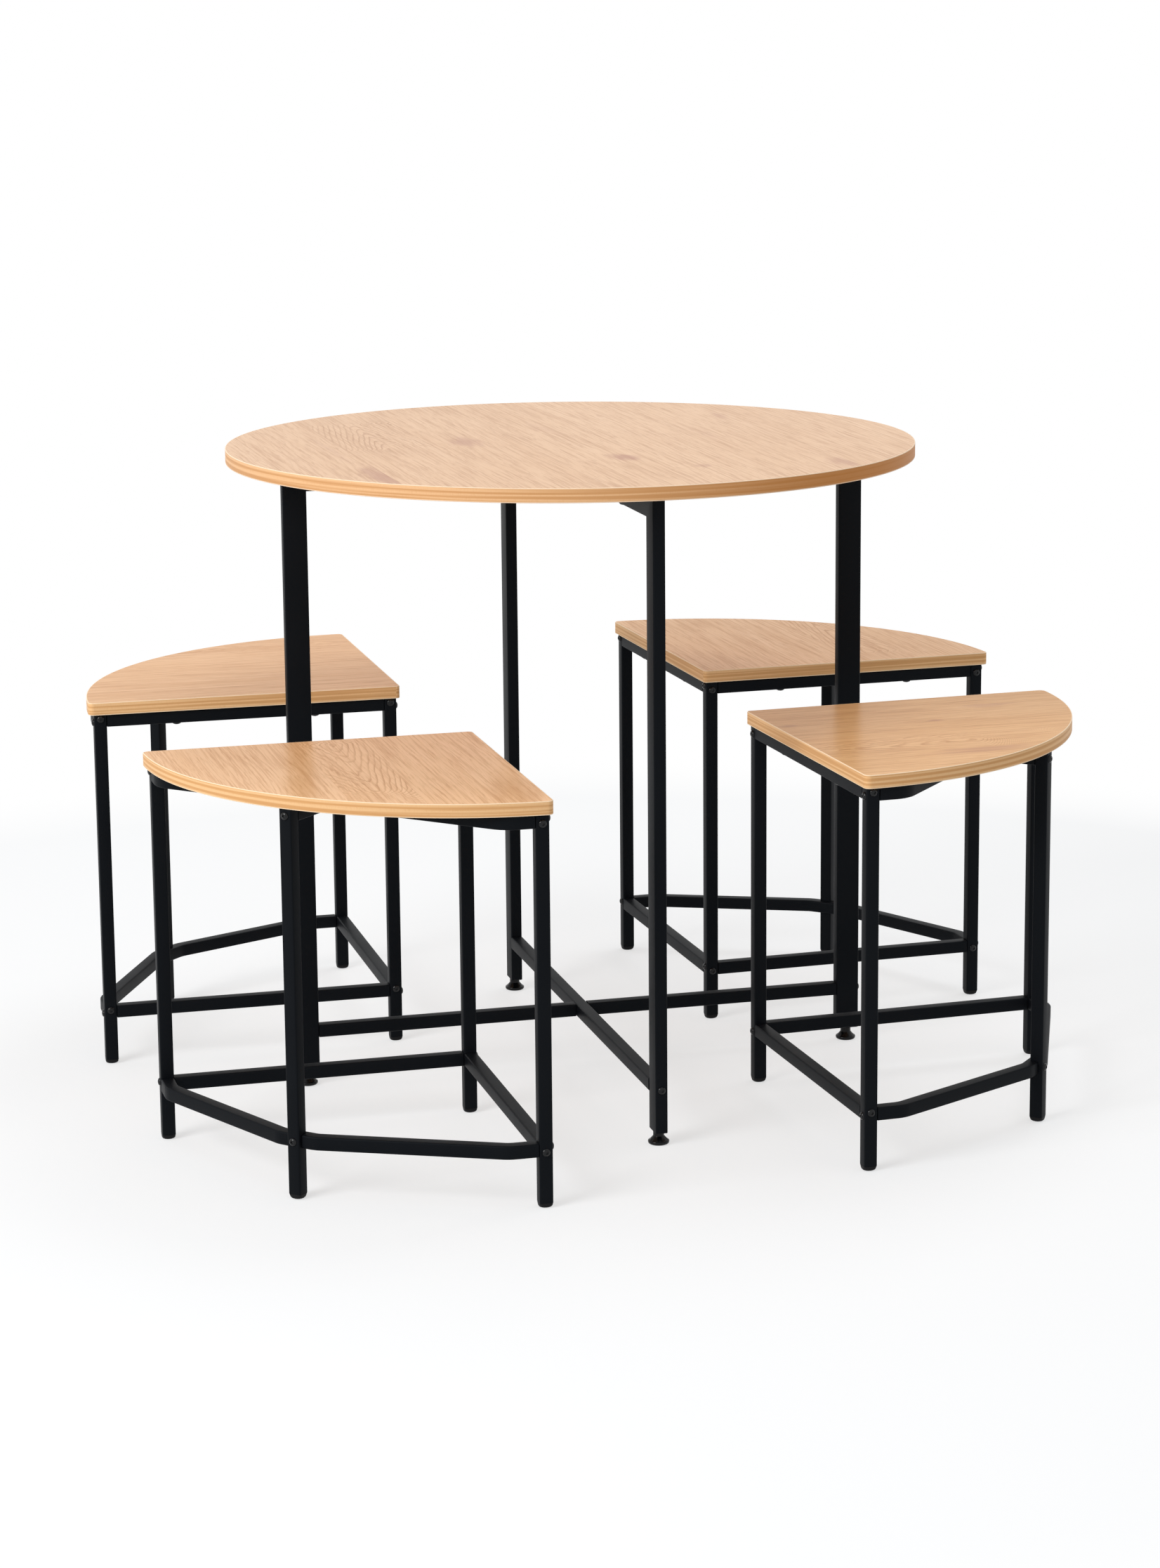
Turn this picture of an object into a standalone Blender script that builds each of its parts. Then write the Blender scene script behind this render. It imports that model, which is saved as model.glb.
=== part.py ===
# Round dining table with four quarter-round stools that nest between its legs.
# Metres, +Z up. The floor is z = 0, and the origin lies under the middle of the whole set.
# Run it from Blender's text editor, or with blender --background --python part.py

from math import atan2, cos, pi, radians, sin, sqrt, tan

import bmesh
import bpy
from mathutils import Matrix, Vector

# Boards
TOP_DIAMETER = 0.800
TOP_THICKNESS = 0.016
TABLE_HEIGHT = 0.750
SEAT_RADIUS = 0.375
SEAT_THICKNESS = 0.015
SEAT_HEIGHT = 0.444
SEAT_CORNER_RADIUS = 0.005
SEAT_TIP_RADIUS = 0.007
BOARD_ARRIS = 0.001

# Table frame: flat tube for legs and top rails, square tube for the brace
TABLE_TUBE_DEPTH = 0.028
TABLE_TUBE_WIDTH = 0.014
TABLE_LEG_REACH = 0.335
TABLE_LEG_FOOT_SPACE = 0.015
BRACE_TUBE = 0.015
BRACE_HEIGHT = 0.065

# Stool frame: one size of square tube
STOOL_TUBE = 0.015
STOOL_EDGE_INSET = 0.0115
STOOL_TIP_INSET = 0.0140
STOOL_ARC_OVERHANG = 0.0015
LOWER_RING_HEIGHT = 0.064
ARC_BAR_STUB = 0.0305
ARC_BAR_FLAT = 0.044
ARC_BAR_SET_IN = 0.005
ARC_BAR_BEND_RADIUS = 0.030

# Tube stock
TUBE_WALL = 0.0012
TUBE_CORNER = 0.0018
END_PLATE = 0.003

# Fasteners
BOLT_RADIUS = 0.0020
BOLT_HEAD_RADIUS = 0.0046
BOLT_HEAD_CROWN_RADIUS = 0.0029
BOLT_HEAD_HEIGHT = 0.0024
BOLT_TIP = 0.004
BOLT_LEVEL_OFFSET = 0.0024
SCREW_HEAD_RADIUS = 0.0055
SCREW_CROWN_RADIUS = 0.0040
SCREW_HEAD_HEIGHT = 0.0025
SCREW_BITE = 0.008
PILOT_SPARE = 0.001

# Feet
FOOT_CAP_HEIGHT = 0.005
FOOT_CAP_ROUND = 0.0022
FOOT_PLUG_LENGTH = 0.010
LEVELLER_DISC_RADIUS = 0.012
LEVELLER_DISC_HEIGHT = 0.0035
LEVELLER_DISC_ROUND = 0.0012
LEVELLER_NECK_RADIUS = 0.0062
LEVELLER_FLARE_HEIGHT = 0.0095
LEVELLER_STUD_RADIUS = 0.0040
LEVELLER_STUD_LENGTH = 0.014
LEVELLER_PLUG_LENGTH = 0.022

# Fits
GAP = 0.0003
WELD_BITE = 0.0004
OVERRUN = 0.002

# Places of the table frame's axis and of each stool's square corner, and each stool's turn.
# The top is screwed on a little to the left of the frame's middle.
TABLE_CENTRE = (-0.004, 0.003)
TOP_SHIFT = -0.007
STOOL_PLACES = {
    "front_left_stool": (-0.168, -0.1445, 180.0),
    "back_left_stool": (-0.1885, 0.1445, 89.5),
    "back_right_stool": (0.1885, 0.1265, 1.8),
    "front_right_stool": (0.163, -0.1260, -87.5),
}
ARM_ANGLES = {"right": 0.0, "back": 90.0, "left": 180.0, "front": 270.0}

# Shares and counts
SEAT_SCREW_SHARES = (0.25, 0.75)
TOP_SCREW_SHARE = 0.62
TOP_SEGMENTS = 72
SEAT_ARC_SEGMENTS = 18
SEAT_FILLET_SEGMENTS = 3
HEAD_SIDES = 8
SHANK_SIDES = 6
LEVELLER_SIDES = 16
LEVELLER_SMOOTH_ANGLE = radians(40)
BEND_SEGMENTS = 2

# Worked out from the sizes above
FRAME_TOP = TABLE_HEIGHT - TOP_THICKNESS - GAP
TOP_RAIL_HEIGHT = FRAME_TOP - TABLE_TUBE_DEPTH / 2
STOOL_LEG_TOP = SEAT_HEIGHT - SEAT_THICKNESS - GAP
UPPER_RING_HEIGHT = STOOL_LEG_TOP - STOOL_TUBE / 2
RING_HEIGHTS = (LOWER_RING_HEIGHT, UPPER_RING_HEIGHT)
END_LEG_REACH = SEAT_RADIUS - STOOL_TIP_INSET
ARC_LEG_REACH = SEAT_RADIUS - STOOL_ARC_OVERHANG - STOOL_TUBE / 2
ARC_BAR_REACH = ARC_LEG_REACH - ARC_BAR_SET_IN
HOLE_RADIUS = BOLT_RADIUS / cos(pi / SHANK_SIDES) + GAP
DIAGONAL = Vector((1, 1, 0)).normalized()
X_AXIS = Vector((1, 0, 0))
Y_AXIS = Vector((0, 1, 0))
Z_AXIS = Vector((0, 0, 1))


def clear_scene():
    for item in list(bpy.data.objects):
        bpy.data.objects.remove(item, do_unlink=True)


def make_material(name, colour, roughness, metallic):
    material = bpy.data.materials.new(name)
    material.use_nodes = True
    shader = material.node_tree.nodes["Principled BSDF"]
    shader.inputs["Base Color"].default_value = (*colour, 1)
    shader.inputs["Roughness"].default_value = roughness
    shader.inputs["Metallic"].default_value = metallic
    return material


def tube_outline(depth, width, corner):
    """Eight corners of a flat or square tube, its rounded corners cut as chamfers, anticlockwise."""
    a, b = depth / 2, width / 2
    points = []
    for sign_a, sign_b in ((1, 1), (-1, 1), (-1, -1), (1, -1)):
        along = (sign_a * (a - corner), sign_b * b)
        across = (sign_a * a, sign_b * (b - corner))
        points += [across, along] if sign_a == sign_b else [along, across]
    return points


def bore_outline(depth, width):
    """The four corners of a rectangular bore, anticlockwise from the same corner."""
    a, b = depth / 2, width / 2
    return [(a, b), (-a, b), (-a, -b), (a, -b)]


def ring_outline(radius, sides):
    return [(radius * cos(2 * pi * i / sides), radius * sin(2 * pi * i / sides)) for i in range(sides)]


def add_loop(bm, station, outline):
    origin, side, up = station
    return [bm.verts.new(origin + side * a + up * b) for a, b in outline]


def add_wall(bm, first, second):
    for i in range(len(first)):
        j = (i + 1) % len(first)
        bm.faces.new((first[i], first[j], second[j], second[i]))


def add_rim(bm, outer, inner):
    """Triangles between two rings that run the same way round but differ in count."""
    i = j = 0
    n, m = len(outer), len(inner)
    while i < n or j < m:
        outer_is_behind = (2 * i + 1) * m <= (2 * j + 1) * n
        if j == m or (i < n and outer_is_behind):
            bm.faces.new((outer[i % n], outer[(i + 1) % n], inner[j % m]))
            i += 1
        else:
            bm.faces.new((outer[i % n], inner[(j + 1) % m], inner[j % m]))
            j += 1


def add_bar(bm, stations, outline):
    """A solid bar: one outline carried through the stations and capped at both ends."""
    loops = [add_loop(bm, station, outline) for station in stations]
    for first, second in zip(loops, loops[1:]):
        add_wall(bm, first, second)
    bm.faces.new(loops[0])
    bm.faces.new(loops[-1])


def add_tube(bm, stations, outer, inner):
    """An open tube: the outer and inner outlines carried through the stations, rimmed at both ends."""
    skins = [[add_loop(bm, station, outline) for station in stations] for outline in (outer, inner)]
    for loops in skins:
        for first, second in zip(loops, loops[1:]):
            add_wall(bm, first, second)
    for end in (0, -1):
        add_rim(bm, skins[0][end], skins[1][end])


def add_stack(bm, origin, axis, rings):
    """A turned solid: rings of (height along the axis, radius, sides), capped at both ends."""
    turn = axis.to_track_quat("Z", "Y").to_matrix()
    side, up = turn.col[0].copy(), turn.col[1].copy()
    loops = [
        add_loop(bm, (origin + axis * height, side, up), ring_outline(radius, sides))
        for height, radius, sides in rings
    ]
    for first, second in zip(loops, loops[1:]):
        if len(first) == len(second):
            add_wall(bm, first, second)
        else:
            add_rim(bm, first, second)
    bm.faces.new(loops[0])
    bm.faces.new(loops[-1])


def add_bolt(bm, face, axis, shank_length):
    """A button-head bolt set in the wall it clamps: head outside the face, shank along the axis."""
    add_stack(bm, face, axis, (
        (-BOLT_HEAD_HEIGHT, BOLT_HEAD_CROWN_RADIUS, HEAD_SIDES),
        (WELD_BITE, BOLT_HEAD_RADIUS, HEAD_SIDES),
        (WELD_BITE, BOLT_RADIUS, SHANK_SIDES),
        (shank_length, BOLT_RADIUS, SHANK_SIDES),
    ))


def add_screw(bm, face, axis, shank_length):
    """A pan-head wood screw set in the rail: head outside the face, shank along the axis."""
    add_stack(bm, face, axis, (
        (-SCREW_HEAD_HEIGHT, SCREW_CROWN_RADIUS, HEAD_SIDES),
        (WELD_BITE, SCREW_HEAD_RADIUS, HEAD_SIDES),
        (WELD_BITE, BOLT_RADIUS, SHANK_SIDES),
        (shank_length, BOLT_RADIUS, SHANK_SIDES),
    ))


def add_drill(bm, start, axis, length):
    """The cutter for one bolt hole, clear of the shank whichever way its sides are turned."""
    add_stack(bm, start, axis, ((0, HOLE_RADIUS, SHANK_SIDES), (length, HOLE_RADIUS, SHANK_SIDES)))


def finish_mesh(bm, name, smooth_angle=None):
    bmesh.ops.recalc_face_normals(bm, faces=bm.faces)
    mesh = bpy.data.meshes.new(name)
    bm.to_mesh(mesh)
    bm.free()
    if smooth_angle is not None:
        mesh.shade_smooth()
        mesh.set_sharp_from_angle(angle=smooth_angle)
    return mesh


def combine(mesh, tool_bm, operation):
    """Cuts the tool's solids out of the mesh, or joins them to it, and returns the new mesh."""
    tool_mesh = finish_mesh(tool_bm, "tool")
    body = bpy.data.objects.new("body", mesh)
    tool = bpy.data.objects.new("tool", tool_mesh)
    for item in (body, tool):
        bpy.context.scene.collection.objects.link(item)
    boolean = body.modifiers.new("combine", "BOOLEAN")
    boolean.operation = operation
    boolean.solver = "EXACT"
    boolean.object = tool
    depsgraph = bpy.context.evaluated_depsgraph_get()
    result = bpy.data.meshes.new_from_object(body.evaluated_get(depsgraph))
    name = mesh.name
    bpy.data.objects.remove(body, do_unlink=True)
    bpy.data.objects.remove(tool, do_unlink=True)
    bpy.data.meshes.remove(mesh)
    bpy.data.meshes.remove(tool_mesh)
    result.name = name
    return result


def cut_mesh(mesh, cutter_bm):
    return combine(mesh, cutter_bm, "DIFFERENCE")


def join_mesh(mesh, addition_bm):
    return combine(mesh, addition_bm, "UNION")


def place(name, mesh, material, parent):
    """One named object on a shared mesh, standing in its parent's frame."""
    if not mesh.materials:
        mesh.materials.append(material)
    item = bpy.data.objects.new(name, mesh)
    bpy.context.scene.collection.objects.link(item)
    item.parent = parent
    return item


def make_empty(name, x, y, turn):
    empty = bpy.data.objects.new(name, None)
    empty.location = (x, y, 0)
    empty.rotation_euler = (0, 0, radians(turn))
    bpy.context.scene.collection.objects.link(empty)
    return empty


# Boards

def board_mesh(name, outline_at, height, thickness):
    """A board with its arrises taken off: four loops of the outline, drawn in at the faces."""
    bm = bmesh.new()
    levels = (
        (height - thickness, BOARD_ARRIS),
        (height - thickness + BOARD_ARRIS, 0),
        (height - BOARD_ARRIS, 0),
        (height, BOARD_ARRIS),
    )
    loops = [[bm.verts.new((x, y, z)) for x, y in outline_at(inset)] for z, inset in levels]
    for first, second in zip(loops, loops[1:]):
        add_wall(bm, first, second)
    bm.faces.new(loops[0])
    bm.faces.new(loops[-1])
    return finish_mesh(bm, name)


def arc_points(centre, radius, start, end, segments):
    return [
        (centre[0] + radius * cos(start + (end - start) * i / segments),
         centre[1] + radius * sin(start + (end - start) * i / segments))
        for i in range(segments + 1)
    ]


def seat_outline(inset):
    """A quarter circle round the square corner, with the corner and both tips rounded."""
    corner = (SEAT_CORNER_RADIUS, SEAT_CORNER_RADIUS)
    tip = sqrt((SEAT_RADIUS - SEAT_TIP_RADIUS) ** 2 - SEAT_TIP_RADIUS ** 2)
    turn = atan2(SEAT_TIP_RADIUS, tip)
    fillet = SEAT_FILLET_SEGMENTS
    points = arc_points(corner, SEAT_CORNER_RADIUS - inset, pi, 3 * pi / 2, fillet)
    points += arc_points((tip, SEAT_TIP_RADIUS), SEAT_TIP_RADIUS - inset, -pi / 2, turn, fillet)[:-1]
    points += arc_points((0, 0), SEAT_RADIUS - inset, turn, pi / 2 - turn, SEAT_ARC_SEGMENTS)
    points += arc_points((SEAT_TIP_RADIUS, tip), SEAT_TIP_RADIUS - inset, pi / 2 - turn, pi, fillet)[1:]
    return points


def top_outline(inset):
    return [(x + TOP_SHIFT, y) for x, y in ring_outline(TOP_DIAMETER / 2 - inset, TOP_SEGMENTS)]


# Stool frame

def stool_outer():
    return tube_outline(STOOL_TUBE, STOOL_TUBE, TUBE_CORNER)


def stool_bore():
    return bore_outline(STOOL_TUBE - 2 * TUBE_WALL, STOOL_TUBE - 2 * TUBE_WALL)


def stool_leg_places():
    """Leg centres by name, with the direction of the leg's side face."""
    arc_place = DIAGONAL * ARC_LEG_REACH
    return {
        "corner_leg": (Vector((STOOL_EDGE_INSET, STOOL_EDGE_INSET, 0)), X_AXIS),
        "right_end_leg": (Vector((END_LEG_REACH, STOOL_EDGE_INSET, 0)), X_AXIS),
        "left_end_leg": (Vector((STOOL_EDGE_INSET, END_LEG_REACH, 0)), X_AXIS),
        "arc_leg": (arc_place, DIAGONAL),
    }


def stool_joints():
    """Each bolted joint at one ring level: (leg name, bolt axis, height offset)."""
    return (
        ("corner_leg", X_AXIS, BOLT_LEVEL_OFFSET),
        ("corner_leg", Y_AXIS, -BOLT_LEVEL_OFFSET),
        ("right_end_leg", -X_AXIS, BOLT_LEVEL_OFFSET),
        ("right_end_leg", Y_AXIS, -BOLT_LEVEL_OFFSET),
        ("left_end_leg", X_AXIS, BOLT_LEVEL_OFFSET),
        ("left_end_leg", -Y_AXIS, -BOLT_LEVEL_OFFSET),
        ("arc_leg", -DIAGONAL, 0),
    )


def stool_leg_mesh(leg_name):
    """An upright square tube with its plastic foot cap, and the bolts that hold it to both rings."""
    centre, side = stool_leg_places()[leg_name]
    across = Z_AXIS.cross(side)
    sole_width = STOOL_TUBE - 2 * FOOT_CAP_ROUND
    sole = tube_outline(sole_width, sole_width, TUBE_CORNER)

    def loop(bm, height, outline):
        return add_loop(bm, (centre + Z_AXIS * height, side, across), outline)

    bm = bmesh.new()
    floor, ankle = loop(bm, 0, sole), loop(bm, FOOT_CAP_ROUND, stool_outer())
    plug_top = loop(bm, FOOT_CAP_HEIGHT + FOOT_PLUG_LENGTH, stool_bore())
    rim_outer, rim_inner = loop(bm, STOOL_LEG_TOP, stool_outer()), loop(bm, STOOL_LEG_TOP, stool_bore())
    bm.faces.new(floor)
    add_wall(bm, floor, ankle)
    add_wall(bm, ankle, rim_outer)
    add_rim(bm, rim_outer, rim_inner)
    add_wall(bm, rim_inner, plug_top)
    bm.faces.new(plug_top)
    bolts = bmesh.new()
    for height in RING_HEIGHTS:
        for name, axis, offset in stool_joints():
            if name == leg_name:
                face = centre - axis * STOOL_TUBE / 2 + Z_AXIS * (height + offset)
                add_bolt(bolts, face, axis, stool_bolt_length(name, height))
    return join_mesh(finish_mesh(bm, leg_name), bolts)


def stool_bolt_length(leg_name, height):
    """Through the leg and the wall behind it, with the tip showing inside the rail."""
    if leg_name == "arc_leg" and height == LOWER_RING_HEIGHT:
        return STOOL_TUBE + GAP + saddle_floor() + BOLT_TIP
    return STOOL_TUBE + GAP + END_PLATE + BOLT_TIP


def saddle_floor():
    """What is left of the arc bar's depth behind the saddle that takes the arc leg."""
    return ARC_BAR_SET_IN - GAP


def straight_rail_mesh(name, height, axis, across, with_screws):
    """One rail from the corner leg along a straight edge, plated and drilled at both ends."""
    offset = BOLT_LEVEL_OFFSET * (axis.x - axis.y)
    start = across * STOOL_EDGE_INSET + axis * rail_start() + Z_AXIS * height
    end = start + axis * (rail_end() - rail_start())
    outer_bm, bore_bm, drill_bm = bmesh.new(), bmesh.new(), bmesh.new()
    add_bar(outer_bm, [(point, across, Z_AXIS) for point in (start, end)], stool_outer())
    inner = (start + axis * END_PLATE, end - axis * END_PLATE)
    add_bar(bore_bm, [(point, across, Z_AXIS) for point in inner], stool_bore())
    for point, direction in ((start, axis), (end, -axis)):
        drill_start = point - direction * OVERRUN + Z_AXIS * offset
        add_drill(drill_bm, drill_start, direction, END_PLATE + 2 * OVERRUN)
    mesh = cut_mesh(finish_mesh(outer_bm, name), bore_bm)
    mesh = cut_mesh(mesh, drill_bm)
    if not with_screws:
        return mesh
    screw_bm = bmesh.new()
    for share in SEAT_SCREW_SHARES:
        under = start.lerp(end, share) - Z_AXIS * STOOL_TUBE / 2
        add_screw(screw_bm, under, Z_AXIS, STOOL_TUBE + GAP + SCREW_BITE)
    return join_mesh(mesh, screw_bm)


def rail_start():
    return STOOL_EDGE_INSET + STOOL_TUBE / 2 + GAP


def rail_end():
    return END_LEG_REACH - STOOL_TUBE / 2 - GAP


def stub_ends():
    """Both ends of the two short stubs that leave the end legs at right angles to the rails."""
    start = rail_start()
    turn = start + ARC_BAR_STUB
    right = (Vector((END_LEG_REACH, start, 0)), Vector((END_LEG_REACH, turn, 0)))
    left = (Vector((turn, END_LEG_REACH, 0)), Vector((start, END_LEG_REACH, 0)))
    return right, left


def lower_bar_corners():
    """The lower bar's centre line: end stub, long run, middle flat, long run and end stub."""
    right, left = stub_ends()
    middle = DIAGONAL * ARC_BAR_REACH
    along = Vector((-DIAGONAL.y, DIAGONAL.x, 0)) * ARC_BAR_FLAT / 2
    return [*right, middle - along, middle + along, *left]


def upper_bar_corners():
    """The upper bar's centre line: one straight run slantwise under the seat, between two stubs."""
    right, left = stub_ends()
    return [*right, *left]


def bent_stations(corners, bend_radius, segments, lift):
    """Stations along a flat route whose corners are turned on one bending radius."""
    stations = []

    def add(point, heading):
        side = Vector((sin(heading), -cos(heading), 0))
        stations.append((point + Z_AXIS * lift, side, Z_AXIS))

    headings = [atan2(b.y - a.y, b.x - a.x) for a, b in zip(corners, corners[1:])]
    add(corners[0], headings[0])
    for corner, before, after in zip(corners[1:], headings, headings[1:]):
        turn = after - before
        back = bend_radius * tan(abs(turn) / 2)
        left = Vector((-sin(before), cos(before), 0))
        centre = corner - Vector((cos(before), sin(before), 0)) * back + left * bend_radius
        for i in range(segments + 1):
            heading = before + turn * i / segments
            add(centre + Vector((sin(heading), -cos(heading), 0)) * bend_radius, heading)
    add(corners[-1], headings[-1])
    return stations


def shorten(corners, length):
    """The same route with both ends drawn in."""
    first = (corners[1] - corners[0]).normalized()
    last = (corners[-2] - corners[-1]).normalized()
    return [corners[0] + first * length] + corners[1:-1] + [corners[-1] + last * length]


def bent_bar_mesh(name, corners, height):
    """One bent tube between the two end legs, plated and drilled at both ends."""
    outer_bm, bore_bm, drill_bm = bmesh.new(), bmesh.new(), bmesh.new()
    add_bar(outer_bm, bent_stations(corners, ARC_BAR_BEND_RADIUS, BEND_SEGMENTS, height), stool_outer())
    inner = shorten(corners, END_PLATE)
    add_bar(bore_bm, bent_stations(inner, ARC_BAR_BEND_RADIUS, BEND_SEGMENTS, height), stool_bore())
    for corner, axis, offset in (
        (corners[0], Y_AXIS, -BOLT_LEVEL_OFFSET),
        (corners[-1], X_AXIS, BOLT_LEVEL_OFFSET),
    ):
        start = corner - axis * OVERRUN + Z_AXIS * (height + offset)
        add_drill(drill_bm, start, axis, END_PLATE + 2 * OVERRUN)
    return cut_mesh(cut_mesh(finish_mesh(outer_bm, name), bore_bm), drill_bm)


def lower_arc_bar_mesh():
    """The lower bar bulges out to the arc leg and takes it in a saddle cut in its outer side."""
    mesh = bent_bar_mesh("lower_arc_bar", lower_bar_corners(), LOWER_RING_HEIGHT)
    saddle_bm, drill_bm = bmesh.new(), bmesh.new()
    start = DIAGONAL * (arc_leg_inner_face() + GAP) + Z_AXIS * LOWER_RING_HEIGHT
    add_drill(drill_bm, start, -DIAGONAL, STOOL_TUBE)
    half_height = STOOL_TUBE / 2 + OVERRUN
    depth = STOOL_TUBE + OVERRUN
    middle = DIAGONAL * (arc_leg_inner_face() + depth / 2) + Z_AXIS * LOWER_RING_HEIGHT
    along = Z_AXIS.cross(DIAGONAL)
    stations = [(middle + Z_AXIS * lift, DIAGONAL, along) for lift in (-half_height, half_height)]
    add_bar(saddle_bm, stations, bore_outline(depth, STOOL_TUBE + 2 * GAP))
    return cut_mesh(cut_mesh(mesh, saddle_bm), drill_bm)


def upper_arc_bar_mesh():
    """The upper bar cuts the corner under the seat; a strut welded to its middle holds the arc leg."""
    corners = upper_bar_corners()
    mesh = bent_bar_mesh("upper_arc_bar", corners, UPPER_RING_HEIGHT)
    bar_face = (corners[1] + corners[2]).length / 2 + STOOL_TUBE / 2
    outer_bm, bore_bm, drill_bm = bmesh.new(), bmesh.new(), bmesh.new()
    side = DIAGONAL.cross(Z_AXIS)

    def stations(first, last):
        return [(DIAGONAL * reach + Z_AXIS * UPPER_RING_HEIGHT, side, Z_AXIS) for reach in (first, last)]

    add_bar(outer_bm, stations(bar_face - WELD_BITE, arc_leg_inner_face()), stool_outer())
    add_bar(bore_bm, stations(bar_face + TUBE_WALL, arc_leg_inner_face() - END_PLATE), stool_bore())
    start = DIAGONAL * (arc_leg_inner_face() + OVERRUN) + Z_AXIS * UPPER_RING_HEIGHT
    add_drill(drill_bm, start, -DIAGONAL, END_PLATE + 2 * OVERRUN)
    strut = cut_mesh(cut_mesh(finish_mesh(outer_bm, "strut"), bore_bm), drill_bm)
    strut_bm = bmesh.new()
    strut_bm.from_mesh(strut)
    return join_mesh(mesh, strut_bm)


def arc_leg_inner_face():
    """How far from the stool's corner the parts that meet the arc leg end, the gap included."""
    return ARC_LEG_REACH - STOOL_TUBE / 2 - GAP


def seat_screw_places():
    start, run = rail_start(), rail_end() - rail_start()
    return [
        axis * (start + run * share) + across * STOOL_EDGE_INSET
        for axis, across in ((X_AXIS, Y_AXIS), (Y_AXIS, X_AXIS))
        for share in SEAT_SCREW_SHARES
    ]


def add_pilot(drills, point, board_height, board_thickness):
    """The cutter for a blind pilot hole in a board's underside."""
    under = point + Z_AXIS * (board_height - board_thickness - OVERRUN)
    add_drill(drills, under, Z_AXIS, OVERRUN + SCREW_BITE + PILOT_SPARE)


def seat_mesh():
    """The quarter-round seat board, with blind pilot holes over the upper rails."""
    drills = bmesh.new()
    for point in seat_screw_places():
        add_pilot(drills, point, SEAT_HEIGHT, SEAT_THICKNESS)
    return cut_mesh(board_mesh("seat", seat_outline, SEAT_HEIGHT, SEAT_THICKNESS), drills)


# Table frame, drawn with one arm along +X

def table_outer():
    return tube_outline(TABLE_TUBE_DEPTH, TABLE_TUBE_WIDTH, TUBE_CORNER)


def table_bore():
    return bore_outline(TABLE_TUBE_DEPTH - 2 * TUBE_WALL, TABLE_TUBE_WIDTH - 2 * TUBE_WALL)


def table_leg_mesh():
    """A flat tube with its wide side along the arm, its plug and the bolt that holds the brace."""
    bm = bmesh.new()
    centre = X_AXIS * TABLE_LEG_REACH
    lean = X_AXIS + Z_AXIS
    foot = (centre + Z_AXIS * TABLE_LEG_FOOT_SPACE, X_AXIS, Y_AXIS)
    plug_top = (foot[0] + Z_AXIS * LEVELLER_PLUG_LENGTH, X_AXIS, Y_AXIS)
    mitre = (centre + Z_AXIS * (TOP_RAIL_HEIGHT - GAP * sqrt(2)), lean, Y_AXIS)
    loops = [add_loop(bm, station, table_outer()) for station in (foot, mitre)]
    bores = [add_loop(bm, station, table_bore()) for station in (mitre, plug_top)]
    bm.faces.new(loops[0])
    add_wall(bm, loops[0], loops[1])
    add_rim(bm, loops[1], bores[0])
    add_wall(bm, bores[0], bores[1])
    bm.faces.new(bores[1])
    thread_bm, bolt_bm = bmesh.new(), bmesh.new()
    radius = LEVELLER_STUD_RADIUS + GAP
    length = LEVELLER_PLUG_LENGTH + 2 * OVERRUN
    rings = ((0, radius, HEAD_SIDES), (length, radius, HEAD_SIDES))
    add_stack(thread_bm, foot[0] - Z_AXIS * OVERRUN, Z_AXIS, rings)
    face = centre + X_AXIS * TABLE_TUBE_DEPTH / 2 + Z_AXIS * BRACE_HEIGHT
    add_bolt(bolt_bm, face, -X_AXIS, TABLE_TUBE_DEPTH + GAP + END_PLATE + BOLT_TIP)
    return join_mesh(cut_mesh(finish_mesh(bm, "table_leg"), thread_bm), bolt_bm)


def top_rail_stations(ends):
    """Stations along an arm's line; an end at or past the leg line leans with the mitre."""
    stations = []
    for x in ends:
        mitred = abs(x) >= TABLE_LEG_REACH
        lean = X_AXIS * (x / abs(x)) if mitred else X_AXIS * 0
        stations.append((X_AXIS * x + Z_AXIS * TOP_RAIL_HEIGHT, Z_AXIS + lean, Y_AXIS))
    return stations


def add_top_screw(screws, x):
    under = X_AXIS * x + Z_AXIS * (TOP_RAIL_HEIGHT - TABLE_TUBE_DEPTH / 2)
    add_screw(screws, under, Z_AXIS, TABLE_TUBE_DEPTH + GAP + SCREW_BITE)


def crossing_stud(height, width):
    """The stud that ties two half bars to the long one, drawn across the long bar's middle."""
    bm = bmesh.new()
    half = width / 2 + GAP + END_PLATE + BOLT_TIP
    rings = ((-half, BOLT_RADIUS, SHANK_SIDES), (half, BOLT_RADIUS, SHANK_SIDES))
    add_stack(bm, Z_AXIS * height, Y_AXIS, rings)
    return bm


def long_top_rail_mesh():
    """The rail that runs right across, mitred at both ends, with the joining stud and two screws."""
    bm = bmesh.new()
    ends = (-TABLE_LEG_REACH, TABLE_LEG_REACH)
    add_tube(bm, top_rail_stations(ends), table_outer(), table_bore())
    extras = crossing_stud(TOP_RAIL_HEIGHT, TABLE_TUBE_WIDTH)
    for sign in (1, -1):
        add_top_screw(extras, sign * TABLE_LEG_REACH * TOP_SCREW_SHARE)
    return join_mesh(finish_mesh(bm, "long_top_rail"), extras)


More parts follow.
